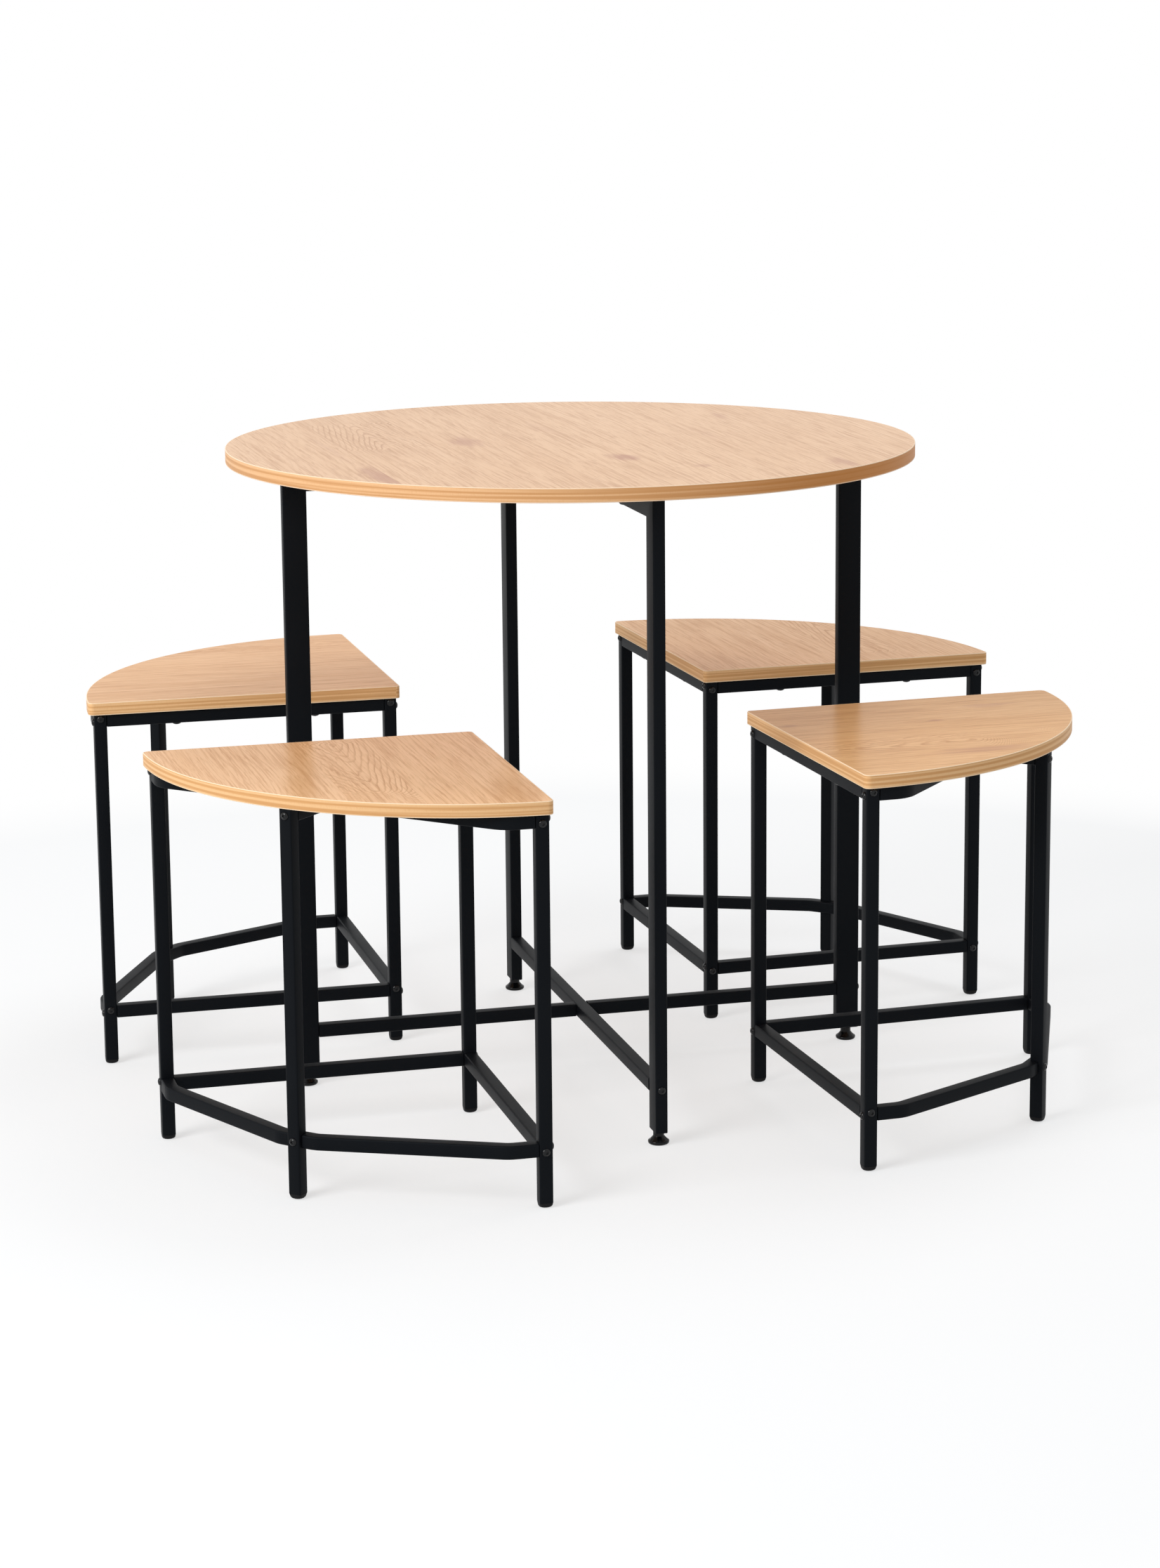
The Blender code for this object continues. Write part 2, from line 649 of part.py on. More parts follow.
def half_top_rail_mesh():
    """A rail that meets the long one from the side, plated where they meet and mitred at the leg."""
    outer_bm, bore_bm, drills, screws = bmesh.new(), bmesh.new(), bmesh.new(), bmesh.new()
    first = TABLE_TUBE_WIDTH / 2 + GAP
    add_bar(outer_bm, top_rail_stations((first, TABLE_LEG_REACH)), table_outer())
    bore_ends = (first + END_PLATE, TABLE_LEG_REACH + OVERRUN)
    add_bar(bore_bm, top_rail_stations(bore_ends), table_bore())
    start = X_AXIS * (first - OVERRUN) + Z_AXIS * TOP_RAIL_HEIGHT
    add_drill(drills, start, X_AXIS, END_PLATE + 2 * OVERRUN)
    add_top_screw(screws, TABLE_LEG_REACH * TOP_SCREW_SHARE)
    mesh = cut_mesh(finish_mesh(outer_bm, "half_top_rail"), bore_bm)
    return join_mesh(cut_mesh(mesh, drills), screws)


def brace_stations(ends):
    return [(X_AXIS * x + Z_AXIS * BRACE_HEIGHT, Y_AXIS, Z_AXIS) for x in ends]


def brace_mesh(name, low, high):
    """Square tube along an arm's line, plated and drilled at both ends."""
    outer_bm, bore_bm, drills = bmesh.new(), bmesh.new(), bmesh.new()
    outer = tube_outline(BRACE_TUBE, BRACE_TUBE, TUBE_CORNER)
    bore = bore_outline(BRACE_TUBE - 2 * TUBE_WALL, BRACE_TUBE - 2 * TUBE_WALL)
    add_bar(outer_bm, brace_stations((low, high)), outer)
    add_bar(bore_bm, brace_stations((low + END_PLATE, high - END_PLATE)), bore)
    for x, sign in ((low, 1), (high, -1)):
        start = X_AXIS * (x - sign * OVERRUN) + Z_AXIS * BRACE_HEIGHT
        add_drill(drills, start, X_AXIS * sign, END_PLATE + 2 * OVERRUN)
    mesh = cut_mesh(finish_mesh(outer_bm, name), bore_bm)
    return cut_mesh(mesh, drills)


def levelling_foot_mesh():
    """A turned foot: a flat disc, a cone up to the neck, and the stud that screws into the plug."""
    bm = bmesh.new()
    disc = LEVELLER_DISC_RADIUS
    neck_top = TABLE_LEG_FOOT_SPACE - GAP
    add_stack(bm, X_AXIS * TABLE_LEG_REACH, Z_AXIS, (
        (0, disc - LEVELLER_DISC_ROUND, LEVELLER_SIDES),
        (LEVELLER_DISC_ROUND, disc, LEVELLER_SIDES),
        (LEVELLER_DISC_HEIGHT, disc, LEVELLER_SIDES),
        (LEVELLER_FLARE_HEIGHT, LEVELLER_NECK_RADIUS, LEVELLER_SIDES),
        (neck_top, LEVELLER_NECK_RADIUS, LEVELLER_SIDES),
        (neck_top, LEVELLER_STUD_RADIUS, HEAD_SIDES),
        (neck_top + LEVELLER_STUD_LENGTH, LEVELLER_STUD_RADIUS, HEAD_SIDES),
    ))
    return finish_mesh(bm, "levelling_foot", LEVELLER_SMOOTH_ANGLE)


def table_top_mesh():
    """The round top board, with blind pilot holes over the top rails."""
    drills = bmesh.new()
    for angle in ARM_ANGLES.values():
        arm = Matrix.Rotation(radians(angle), 3, "Z") @ X_AXIS
        add_pilot(drills, arm * TABLE_LEG_REACH * TOP_SCREW_SHARE, TABLE_HEIGHT, TOP_THICKNESS)
    return cut_mesh(board_mesh("table_top", top_outline, TABLE_HEIGHT, TOP_THICKNESS), drills)


def build_table(materials):
    axis = make_empty("table_axis", *TABLE_CENTRE, 0)
    steel = materials["powder_coat"]
    place("table_top", table_top_mesh(), materials["table_oak"], axis)
    leg, foot = table_leg_mesh(), levelling_foot_mesh()
    end = TABLE_LEG_REACH - TABLE_TUBE_DEPTH / 2 - GAP
    near = BRACE_TUBE / 2 + GAP
    half_rail, half_brace = half_top_rail_mesh(), brace_mesh("half_brace", near, end)
    for name, angle in ARM_ANGLES.items():
        arm = make_empty(name + "_arm", 0, 0, angle)
        arm.parent = axis
        place("table_" + name + "_leg", leg, steel, arm)
        place(name + "_levelling_foot", foot, materials["foot_plastic"], arm)
        if name in ("left", "right"):
            place(name + "_top_rail", half_rail, steel, arm)
            place(name + "_brace", half_brace, steel, arm)
        if name == "back":
            place("long_top_rail", long_top_rail_mesh(), steel, arm)
            long_brace = brace_mesh("long_brace", -end, end)
            stud = crossing_stud(BRACE_HEIGHT, BRACE_TUBE)
            place("long_brace", join_mesh(long_brace, stud), steel, arm)


def build_stools(materials):
    steel = materials["powder_coat"]
    pieces = [("seat", seat_mesh(), materials["seat_oak"])]
    pieces += [(name, stool_leg_mesh(name), steel) for name in stool_leg_places()]
    for level, height in (("lower", LOWER_RING_HEIGHT), ("upper", UPPER_RING_HEIGHT)):
        for side, axis, across in (("right", X_AXIS, Y_AXIS), ("left", Y_AXIS, X_AXIS)):
            name = level + "_" + side + "_rail"
            rail = straight_rail_mesh(name, height, axis, across, level == "upper")
            pieces.append((name, rail, steel))
    pieces.append(("lower_arc_bar", lower_arc_bar_mesh(), steel))
    pieces.append(("upper_arc_bar", upper_arc_bar_mesh(), steel))
    for stool, (x, y, turn) in STOOL_PLACES.items():
        frame = make_empty(stool, x, y, turn)
        for piece, mesh, material in pieces:
            place(stool + "_" + piece, mesh, material, frame)


def main():
    clear_scene()
    materials = {
        "table_oak": make_material("table_oak", (0.72, 0.50, 0.34), 0.5, 0),
        "seat_oak": make_material("seat_oak", (0.74, 0.49, 0.30), 0.5, 0),
        "powder_coat": make_material("powder_coat", (0.018, 0.019, 0.022), 0.45, 0),
        "foot_plastic": make_material("foot_plastic", (0.012, 0.012, 0.013), 0.55, 0),
    }
    build_table(materials)
    build_stools(materials)


main()
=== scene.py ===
"""Looks for the round dining table and its four quarter-round stools.

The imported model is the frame: its boxes give the places and sizes of the pieces made here.
Every new piece is a surface worked out on a grid, in metres, in the frame's own axes.
"""

from math import atan2, cos, pi, radians, sin, sqrt, tan

import bpy
import numpy as np
from mathutils import Matrix, Vector


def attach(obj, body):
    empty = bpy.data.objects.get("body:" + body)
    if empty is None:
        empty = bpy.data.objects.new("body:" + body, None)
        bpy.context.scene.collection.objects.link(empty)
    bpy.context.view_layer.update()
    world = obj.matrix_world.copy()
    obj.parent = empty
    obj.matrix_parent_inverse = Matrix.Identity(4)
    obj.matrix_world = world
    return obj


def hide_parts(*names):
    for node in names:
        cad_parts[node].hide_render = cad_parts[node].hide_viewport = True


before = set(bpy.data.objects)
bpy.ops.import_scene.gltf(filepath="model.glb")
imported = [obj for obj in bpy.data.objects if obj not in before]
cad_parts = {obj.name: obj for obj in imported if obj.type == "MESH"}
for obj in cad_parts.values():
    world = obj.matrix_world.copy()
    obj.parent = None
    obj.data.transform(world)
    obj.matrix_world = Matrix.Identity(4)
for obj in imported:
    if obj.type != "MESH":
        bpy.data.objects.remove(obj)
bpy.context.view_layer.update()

# The photograph's frame and the camera that took it
PHOTO_WIDTH, PHOTO_HEIGHT = 1652, 2233
SENSOR = 36.0
FOCAL_PIXELS = 5303.2
CENTRE_X, CENTRE_Y = 826.0, 1048.2
CAMERA_PLACE = (-1.1033, -4.1690, 1.2922)
CAMERA_AZIMUTH, CAMERA_ELEVATION, CAMERA_ROLL = radians(-14.783), radians(11.696), radians(-0.525)

# Boards, in metres
TOP_RADIUS, TOP_THICKNESS, TABLE_HEIGHT = 0.400, 0.016, 0.750
SEAT_RADIUS, SEAT_THICKNESS, SEAT_HEIGHT = 0.375, 0.015, 0.444
SEAT_CORNER_RADIUS, SEAT_TIP_RADIUS = 0.005, 0.007
BAND, ARRIS = 0.0010, 0.0007
TIP_SEGMENTS, SEAT_ARC_SEGMENTS, TOP_SEGMENTS = 8, 72, 240

# Tubes
TUBE, TUBE_CORNER, TUBE_END_ARRIS = 0.015, 0.0018, 0.0003
FLAT_DEPTH, FLAT_WIDTH = 0.028, 0.014
LEG_REACH, LEG_FOOT_SPACE, BRACE_HEIGHT = 0.335, 0.015, 0.065
EDGE_INSET, TIP_INSET, ARC_OVERHANG = 0.0115, 0.0140, 0.0015
LOWER_RING = 0.064
STUB, ARC_FLAT, ARC_SET_IN, BEND_RADIUS = 0.0305, 0.044, 0.005, 0.030
SADDLE_SIDE, STRUT_WELD = 0.00004, 0.0005
GAP = 0.0003

# Foot caps of the stools and plugs of the table's legs
CAP_HEIGHT, CAP_ROUND, CAP_CORNER, CAP_LIP = 0.005, 0.0022, 0.0062, 0.0002
CAP_CORNER_POWER = 0.6
PLUG_LIP, PLUG_SET_BACK, PLUG_ARRIS, PLUG_EDGE = 0.0008, 0.0004, 0.0003, 0.0001

# Levelling feet
FOOT_RADIUS, FOOT_SOLE_ROUND = 0.012, 0.0024
FOOT_RIM_TOP, FOOT_RIM_ROUND = 0.0031, 0.0014
FOOT_FLARE_RADIUS, FOOT_FLARE_START, FOOT_FLARE_RISE, FOOT_FLARE_POWER = 0.0105, 0.0046, 0.0049, 1.1
FOOT_NECK_RADIUS, FOOT_NECK_ARRIS = 0.0062, 0.0003
FOOT_STUD_RADIUS, FOOT_STUD_TOP = 0.0040, 0.0287

# Fasteners
BOLT_RADIUS, BOLT_HEIGHT, BOLT_SWING = 0.0046, 0.0024, radians(62)
SOCKET_RADIUS, SOCKET_DEPTH, SOCKET_EDGE = 0.00145, 0.0013, 0.0001
SOCKET_MOUTH_SHARE, SOCKET_FLOOR_SHARE = 1.12, 0.97
BOLT_STAGGER = 0.0024
SCREW_RADIUS, SCREW_HEIGHT, SCREW_SWING = 0.0055, 0.0025, radians(68)
RECESS_REACH, RECESS_HALF_WIDTH, RECESS_DEPTH = 0.0021, 0.00055, 0.0015
RECESS_MOUTH_SHARE, RECESS_FLOOR_SHARE = 1.05, 0.5
SEAT_SCREW_SHARES, TOP_SCREW_SHARE = (0.25, 0.75), 0.62

# Worked out from the sizes above
FRAME_TOP = TABLE_HEIGHT - TOP_THICKNESS - GAP
TOP_RAIL = FRAME_TOP - FLAT_DEPTH / 2
STOOL_LEG_TOP = SEAT_HEIGHT - SEAT_THICKNESS - GAP
UPPER_RING = STOOL_LEG_TOP - TUBE / 2
END_REACH = SEAT_RADIUS - TIP_INSET
ARC_REACH = SEAT_RADIUS - ARC_OVERHANG - TUBE / 2
ARC_INNER_FACE = ARC_REACH - TUBE / 2 - GAP
RAIL_START = EDGE_INSET + TUBE / 2 + GAP
RAIL_END = END_REACH - TUBE / 2 - GAP

# Places: the table frame's axis, the top board's axis, and each stool's square corner and turn
TABLE_AXIS = (-0.004, 0.003)
TOP_AXIS = (-0.011, 0.003)
STOOLS = {
    "front_left_stool": (-0.168, -0.1445, 180.0),
    "back_left_stool": (-0.1885, 0.1445, 89.5),
    "back_right_stool": (0.1885, 0.1265, 1.8),
    "front_right_stool": (0.163, -0.1260, -87.5),
}
ARMS = {"right": 0.0, "back": 90.0, "left": 180.0, "front": 270.0}

X, Y, Z = np.eye(3)
DIAGONAL = (X + Y) / sqrt(2)

# How finely round forms are drawn, and the angle from which an edge is drawn sharp
CORNER_SEGMENTS, BEND_SEGMENTS = 4, 12
ARRIS_POINTS, ROUND_POINTS, FOOT_POINTS = 5, 6, 7
TURNED_SIDES, FINE_SIDES = 24, 48
SHARP_ANGLE = radians(34)

# Each stool leg's bolts: the way they point into the leg, and their step up or down from the ring
LEG_BOLTS = {
    "corner_leg": ((X, BOLT_STAGGER), (Y, -BOLT_STAGGER)),
    "right_end_leg": ((-X, BOLT_STAGGER), (Y, -BOLT_STAGGER)),
    "left_end_leg": ((X, BOLT_STAGGER), (-Y, -BOLT_STAGGER)),
    "arc_leg": ((-DIAGONAL, 0.0),),
}


# Surfaces on grids

def rounded_outline(depth, width, corner):
    """A rectangle with quarter-round corners: each corner's centre plus its radius round a quarter turn."""
    quarter = np.linspace(0, pi / 2, CORNER_SEGMENTS + 1)
    angles = (quarter[None, :] + np.arange(4)[:, None] * pi / 2).ravel()
    signs = np.array([(1, 1), (-1, 1), (-1, -1), (1, -1)]).repeat(len(quarter), axis=0)
    centres = signs * (np.array([depth, width]) / 2 - corner)
    return centres + corner * np.stack([np.cos(angles), np.sin(angles)], -1)


def carry(centres, sides, ups, outlines):
    """The grid of a profile carried along a path: centre + side times a + up times b, per station."""
    centres, sides, ups, outlines = (np.asarray(item, float) for item in (centres, sides, ups, outlines))
    outlines = np.broadcast_to(outlines, (len(centres),) + outlines.shape[-2:])
    return centres[:, None] + sides[:, None] * outlines[..., :1] + ups[:, None] * outlines[..., 1:]


def closed_shell(grid, ring=False):
    """Points and faces of a grid that closes round its columns.

    The first and last rows are capped with a fan to their middle, or joined to each other in a ring.
    Faces are turned outwards by the sign of the enclosed volume.
    """
    rows, columns = grid.shape[:2]
    points = grid.reshape(-1, 3)
    row = np.arange(rows if ring else rows - 1)[:, None]
    column = np.arange(columns)[None, :]
    next_row, next_column = (row + 1) % rows, (column + 1) % columns
    quads = np.stack([
        row * columns + column, row * columns + next_column,
        next_row * columns + next_column, next_row * columns + column,
    ], -1).reshape(-1, 4)
    tris = np.zeros((0, 3), int)
    if not ring:
        first, second = np.arange(columns), (np.arange(columns) + 1) % columns
        last = (rows - 1) * columns
        poles = len(points) + np.zeros(columns, int)
        points = np.concatenate([points, grid[:1].mean(1), grid[-1:].mean(1)])
        tris = np.concatenate([
            np.stack([second, first, poles], -1),
            np.stack([last + first, last + second, poles + 1], -1),
        ])
    a, b, c, d = (points[quads[:, i]] for i in range(4))
    volume = (a * np.cross(b, c)).sum() + (a * np.cross(c, d)).sum()
    if len(tris):
        a, b, c = (points[tris[:, i]] for i in range(3))
        volume += (a * np.cross(b, c)).sum()
    if volume < 0:
        quads, tris = quads[:, ::-1], tris[:, ::-1]
    return points, quads, tris


def straight_tube(start, end, side, up, depth, width, arris=TUBE_END_ARRIS):
    """A tube between two points with its ends closed and their edges taken off by a small arris."""
    start, end = np.asarray(start, float), np.asarray(end, float)
    along = (end - start) / np.linalg.norm(end - start)
    full = rounded_outline(depth, width, TUBE_CORNER)
    small = rounded_outline(depth - 2 * arris, width - 2 * arris, TUBE_CORNER - arris)
    centres = [start, start + along * arris, end - along * arris, end]
    return closed_shell(carry(centres, [side] * 4, [up] * 4, [small, full, full, small]))


def turned(base, axis, profile, sides=TURNED_SIDES):
    """A turned solid: rings of (height along the axis, radius), the radius a number or one per side."""
    axis = np.asarray(axis, float)
    helper = Z if abs(axis[2]) < 0.9 else X
    side = np.cross(helper, axis)
    side /= np.linalg.norm(side)
    up = np.cross(axis, side)
    angles = np.arange(sides) * 2 * pi / sides
    circle = np.stack([np.cos(angles), np.sin(angles)], -1)
    heights = np.array([height for height, _ in profile])
    rings = np.stack([circle * np.broadcast_to(radius, sides)[:, None] for _, radius in profile])
    centres = np.asarray(base, float) + heights[:, None] * axis
    return closed_shell(carry(centres, [side] * len(profile), [up] * len(profile), rings))


def hexagon(radius, sides=TURNED_SIDES):
    """The radius of a hexagon by angle: the apothem over the cosine from the nearest flat's middle."""
    angles = np.arange(sides) * 2 * pi / sides
    return radius / np.cos((angles + pi / 6) % (pi / 3) - pi / 6)


def cross_recess(reach, half_width, sides):
    """The radius of a cross by angle: the nearer of an arm's end and an arm's side."""
    angles = (np.arange(sides) * 2 * pi / sides + pi / 4) % (pi / 2) - pi / 4
    across = half_width / np.maximum(np.abs(np.sin(angles)), 1e-6)
    return np.maximum(np.minimum(reach / np.cos(angles), across), half_width)


def bolt_head(face, inward):
    """A button head outside a face: a quarter ellipse up to a flat crown with a hexagon socket."""
    swing = np.linspace(0, BOLT_SWING, ROUND_POINTS)
    dome = [(BOLT_HEIGHT * sin(a) / sin(BOLT_SWING), BOLT_RADIUS * cos(a)) for a in swing]
    socket = hexagon(SOCKET_RADIUS)
    profile = [
        *dome, (BOLT_HEIGHT, socket * SOCKET_MOUTH_SHARE), (BOLT_HEIGHT - SOCKET_EDGE, socket),
        (BOLT_HEIGHT - SOCKET_DEPTH, socket * SOCKET_FLOOR_SHARE),
    ]
    return turned(face, -np.asarray(inward, float), profile)


def screw_head(face, inward):
    """A pan head outside a face: a quarter ellipse up to a flat crown with a cross recess."""
    swing = np.linspace(0, SCREW_SWING, ROUND_POINTS)
    dome = [(SCREW_HEIGHT * sin(a) / sin(SCREW_SWING), SCREW_RADIUS * cos(a)) for a in swing]
    recess = cross_recess(RECESS_REACH, RECESS_HALF_WIDTH, FINE_SIDES)
    profile = [
        *dome, (SCREW_HEIGHT, recess * RECESS_MOUTH_SHARE),
        (SCREW_HEIGHT - RECESS_DEPTH, recess * RECESS_FLOOR_SHARE),
    ]
    return turned(face, -np.asarray(inward, float), profile, FINE_SIDES)


# Boards

def arc(centre, radius, start, end, segments):
    """Points on a circle: its centre plus the radius round from one angle to the other."""
    angles = np.linspace(start, end, segments + 1)
    return np.array(centre) + radius * np.stack([np.cos(angles), np.sin(angles)], -1)


def seat_outline(inset):
    """A quarter circle round the square corner, with the corner and both tips on small arcs."""
    reach = sqrt((SEAT_RADIUS - SEAT_TIP_RADIUS) ** 2 - SEAT_TIP_RADIUS ** 2)
    turn = atan2(SEAT_TIP_RADIUS, reach)
    right_tip = arc((reach, SEAT_TIP_RADIUS), SEAT_TIP_RADIUS - inset, -pi / 2, turn, TIP_SEGMENTS)
    left_tip = arc((SEAT_TIP_RADIUS, reach), SEAT_TIP_RADIUS - inset, pi / 2 - turn, pi, TIP_SEGMENTS)
    corner = arc((SEAT_CORNER_RADIUS,) * 2, SEAT_CORNER_RADIUS - inset, pi, 3 * pi / 2, TIP_SEGMENTS)
    edge = arc((0, 0), SEAT_RADIUS - inset, turn, pi / 2 - turn, SEAT_ARC_SEGMENTS)
    return np.concatenate([corner, right_tip[:-1], edge, left_tip[1:]])


def top_outline(inset):
    """A circle round the top's axis, starting at the back."""
    return arc(TOP_AXIS, TOP_RADIUS - inset, pi / 2, 5 * pi / 2, TOP_SEGMENTS)[:-1]


def level_loops(loops):
    """The grid of flat loops, each at its own height."""
    return np.stack([np.column_stack([loop, np.full(len(loop), z)]) for loop, z in loops])


def board_panel(outline, height, thickness):
    """The board inside its edge band: the outline at both faces, capped."""
    return closed_shell(level_loops((outline(BAND), z) for z in (height - thickness, height)))


def board_band(outline, height, thickness):
    """The edge band: a thin upright strip with quarter-round arrises, carried round the outline.

    Also gives each quad's corners as (length along the edge in metres, share of the height).
    """
    low = height - thickness
    swing = np.linspace(0, pi / 2, ARRIS_POINTS)
    section = [(BAND, low), *((ARRIS * (1 - sin(a)), low + ARRIS * (1 - cos(a))) for a in swing)]
    section += [(ARRIS * (1 - cos(a)), height - ARRIS * (1 - sin(a))) for a in swing]
    section.append((BAND, height))
    loops = [outline(inset) for inset, _ in section]
    grid = level_loops((loop, z) for loop, (_, z) in zip(loops, section))
    shell = closed_shell(grid, ring=True)
    rows, columns = grid.shape[:2]
    steps = np.linalg.norm(np.roll(loops[0], -1, axis=0) - loops[0], axis=1)
    length = np.concatenate([[0], np.cumsum(steps)])
    share = (np.array([z for _, z in section]) - low) / thickness
    row, column = (item.ravel() for item in np.meshgrid(np.arange(rows), np.arange(columns), indexing="ij"))
    corner_rows = np.stack([row, row, (row + 1) % rows, (row + 1) % rows], -1)
    corner_columns = np.stack([column, column + 1, column + 1, column], -1)
    turned_over = shell[1][0, 0] != 0
    if turned_over:
        corner_rows, corner_columns = corner_rows[:, ::-1], corner_columns[:, ::-1]
    return shell, np.stack([length[corner_columns], share[corner_rows]], -1)


# Pieces

def make_piece(name, shells, material, body, nodes, uv=None):
    """One object from closed shells, smooth but for its sharp edges, riding on its body."""
    points = np.concatenate([shell[0] for shell in shells])
    starts = np.cumsum([0] + [len(shell[0]) for shell in shells])
    faces = []
    for start, (_, quads, tris) in zip(starts, shells):
        faces += (quads + start).tolist() + (tris + start).tolist()
    mesh = bpy.data.meshes.new(name)
    mesh.from_pydata(points.tolist(), [], faces)
    mesh.materials.append(material)
    mesh.shade_smooth()
    mesh.set_sharp_from_angle(angle=SHARP_ANGLE)
    if uv is not None:
        layer = mesh.uv_layers.new(name="edge")
        layer.data.foreach_set("uv", uv.astype(np.float32).ravel())
    piece = bpy.data.objects.new(name, mesh)
    bpy.context.scene.collection.objects.link(piece)
    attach(piece, body)
    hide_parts(*nodes)


def placed(shell, x, y, turn):
    """A shell turned about the upright axis and moved to its place."""
    c, s = cos(radians(turn)), sin(radians(turn))
    points = shell[0] @ np.array([[c, s, 0], [-s, c, 0], [0, 0, 1]]) + np.array([x, y, 0])
    return points, shell[1], shell[2]


def stool_leg_places():
    """Each leg's centre and the direction of its side face, in the stool's own axes."""
    return {
        "corner_leg": (X * EDGE_INSET + Y * EDGE_INSET, X),
        "right_end_leg": (X * END_REACH + Y * EDGE_INSET, X),
        "left_end_leg": (X * EDGE_INSET + Y * END_REACH, X),
        "arc_leg": (DIAGONAL * ARC_REACH, DIAGONAL),
    }


def foot_cap(centre, side):
    """A push-on cap: nearly round at the sole, with a quarter-round edge, and square at its fine lip."""
    across = np.cross(Z, side)
    swing = np.linspace(0, pi / 2, ROUND_POINTS)
    rings = [(CAP_ROUND * (1 - sin(a)), CAP_ROUND * (1 - cos(a))) for a in swing]
    rings += [(0, CAP_HEIGHT - CAP_LIP), (CAP_LIP, CAP_HEIGHT)]
    shares = [(1 - z / CAP_HEIGHT) ** CAP_CORNER_POWER for _, z in rings]
    corners = [TUBE_CORNER + (CAP_CORNER - TUBE_CORNER) * share for share in shares]
    outlines = [
        rounded_outline(TUBE - 2 * i, TUBE - 2 * i, min(corner, TUBE / 2 - i - GAP))
        for (i, _), corner in zip(rings, corners)
    ]
    centres = [centre + Z * z for _, z in rings]
    return closed_shell(carry(centres, [side] * len(rings), [across] * len(rings), outlines))


def bent_route(corners):
    """Points and headings along straight runs joined by arcs on the bending radius."""
    corners = [np.asarray(corner, float)[:2] for corner in corners]
    headings = [atan2(*(b - a)[::-1]) for a, b in zip(corners, corners[1:])]
    points, angles = [corners[0]], [headings[0]]
    for corner, before, after in zip(corners[1:], headings, headings[1:]):
        back = BEND_RADIUS * tan(abs(after - before) / 2)
        centre = corner + np.array([-cos(before), -sin(before)]) * back
        centre = centre + np.array([-sin(before), cos(before)]) * BEND_RADIUS
        for angle in np.linspace(before, after, BEND_SEGMENTS + 1):
            points.append(centre + np.array([sin(angle), -cos(angle)]) * BEND_RADIUS)
            angles.append(angle)
    points.append(corners[-1])
    angles.append(headings[-1])
    return np.array(points), np.array(angles)


def bent_tube(corners, height, saddle=None):
    """A square tube carried along the bent route, its outer side drawn in where a saddle is cut."""
    points, angles = bent_route(corners)
    arris = TUBE_END_ARRIS
    if saddle is not None:
        middle = len(points) // 2
        along = (points[middle] - points[middle - 1]) / np.linalg.norm(points[middle] - points[middle - 1])
        centre = (points[middle] + points[middle - 1]) / 2
        half = TUBE / 2 + GAP
        cuts = [centre + along * t for t in (-half - SADDLE_SIDE, -half, half, half + SADDLE_SIDE)]
        points = np.concatenate([points[:middle], cuts, points[middle:]])
        angles = np.concatenate([angles[:middle], [angles[middle]] * 4, angles[middle:]])
    heading = np.stack([np.cos(angles), np.sin(angles)], -1)
    points = np.concatenate([points[:1], points[:1] + heading[:1] * arris, points[1:-1],
                             points[-1:] - heading[-1:] * arris, points[-1:]])
    angles = np.concatenate([angles[:1], angles, angles[-1:]])
    full = rounded_outline(TUBE, TUBE, TUBE_CORNER)
    small = rounded_outline(TUBE - 2 * arris, TUBE - 2 * arris, TUBE_CORNER - arris)
    outlines = np.repeat(full[None], len(points), axis=0)
    outlines[0], outlines[-1] = small, small
    if saddle is not None:
        # The inner two of the four stations at the cut, which stand one further on since the arris came in
        inner = middle + 2
        cut = full.copy()
        cut[:, 0] = np.minimum(cut[:, 0], saddle)
        outlines[inner:inner + 2] = cut
    centres = np.column_stack([points, np.full(len(points), height)])
    sides = np.stack([np.sin(angles), -np.cos(angles), np.zeros(len(angles))], -1)
    return closed_shell(carry(centres, sides, np.repeat(Z[None], len(points), axis=0), outlines))


def arc_bar_corners(level):
    """The bar's centre line: two stubs, with a flat in the middle of the lower one."""
    turn = RAIL_START + STUB
    right = [X * END_REACH + Y * RAIL_START, X * END_REACH + Y * turn]
    left = [X * turn + Y * END_REACH, X * RAIL_START + Y * END_REACH]
    if level == "upper":
        return [*right, *left]
    middle, along = DIAGONAL * (ARC_REACH - ARC_SET_IN), (Y - X) / sqrt(2) * ARC_FLAT / 2
    return [*right, middle - along, middle + along, *left]


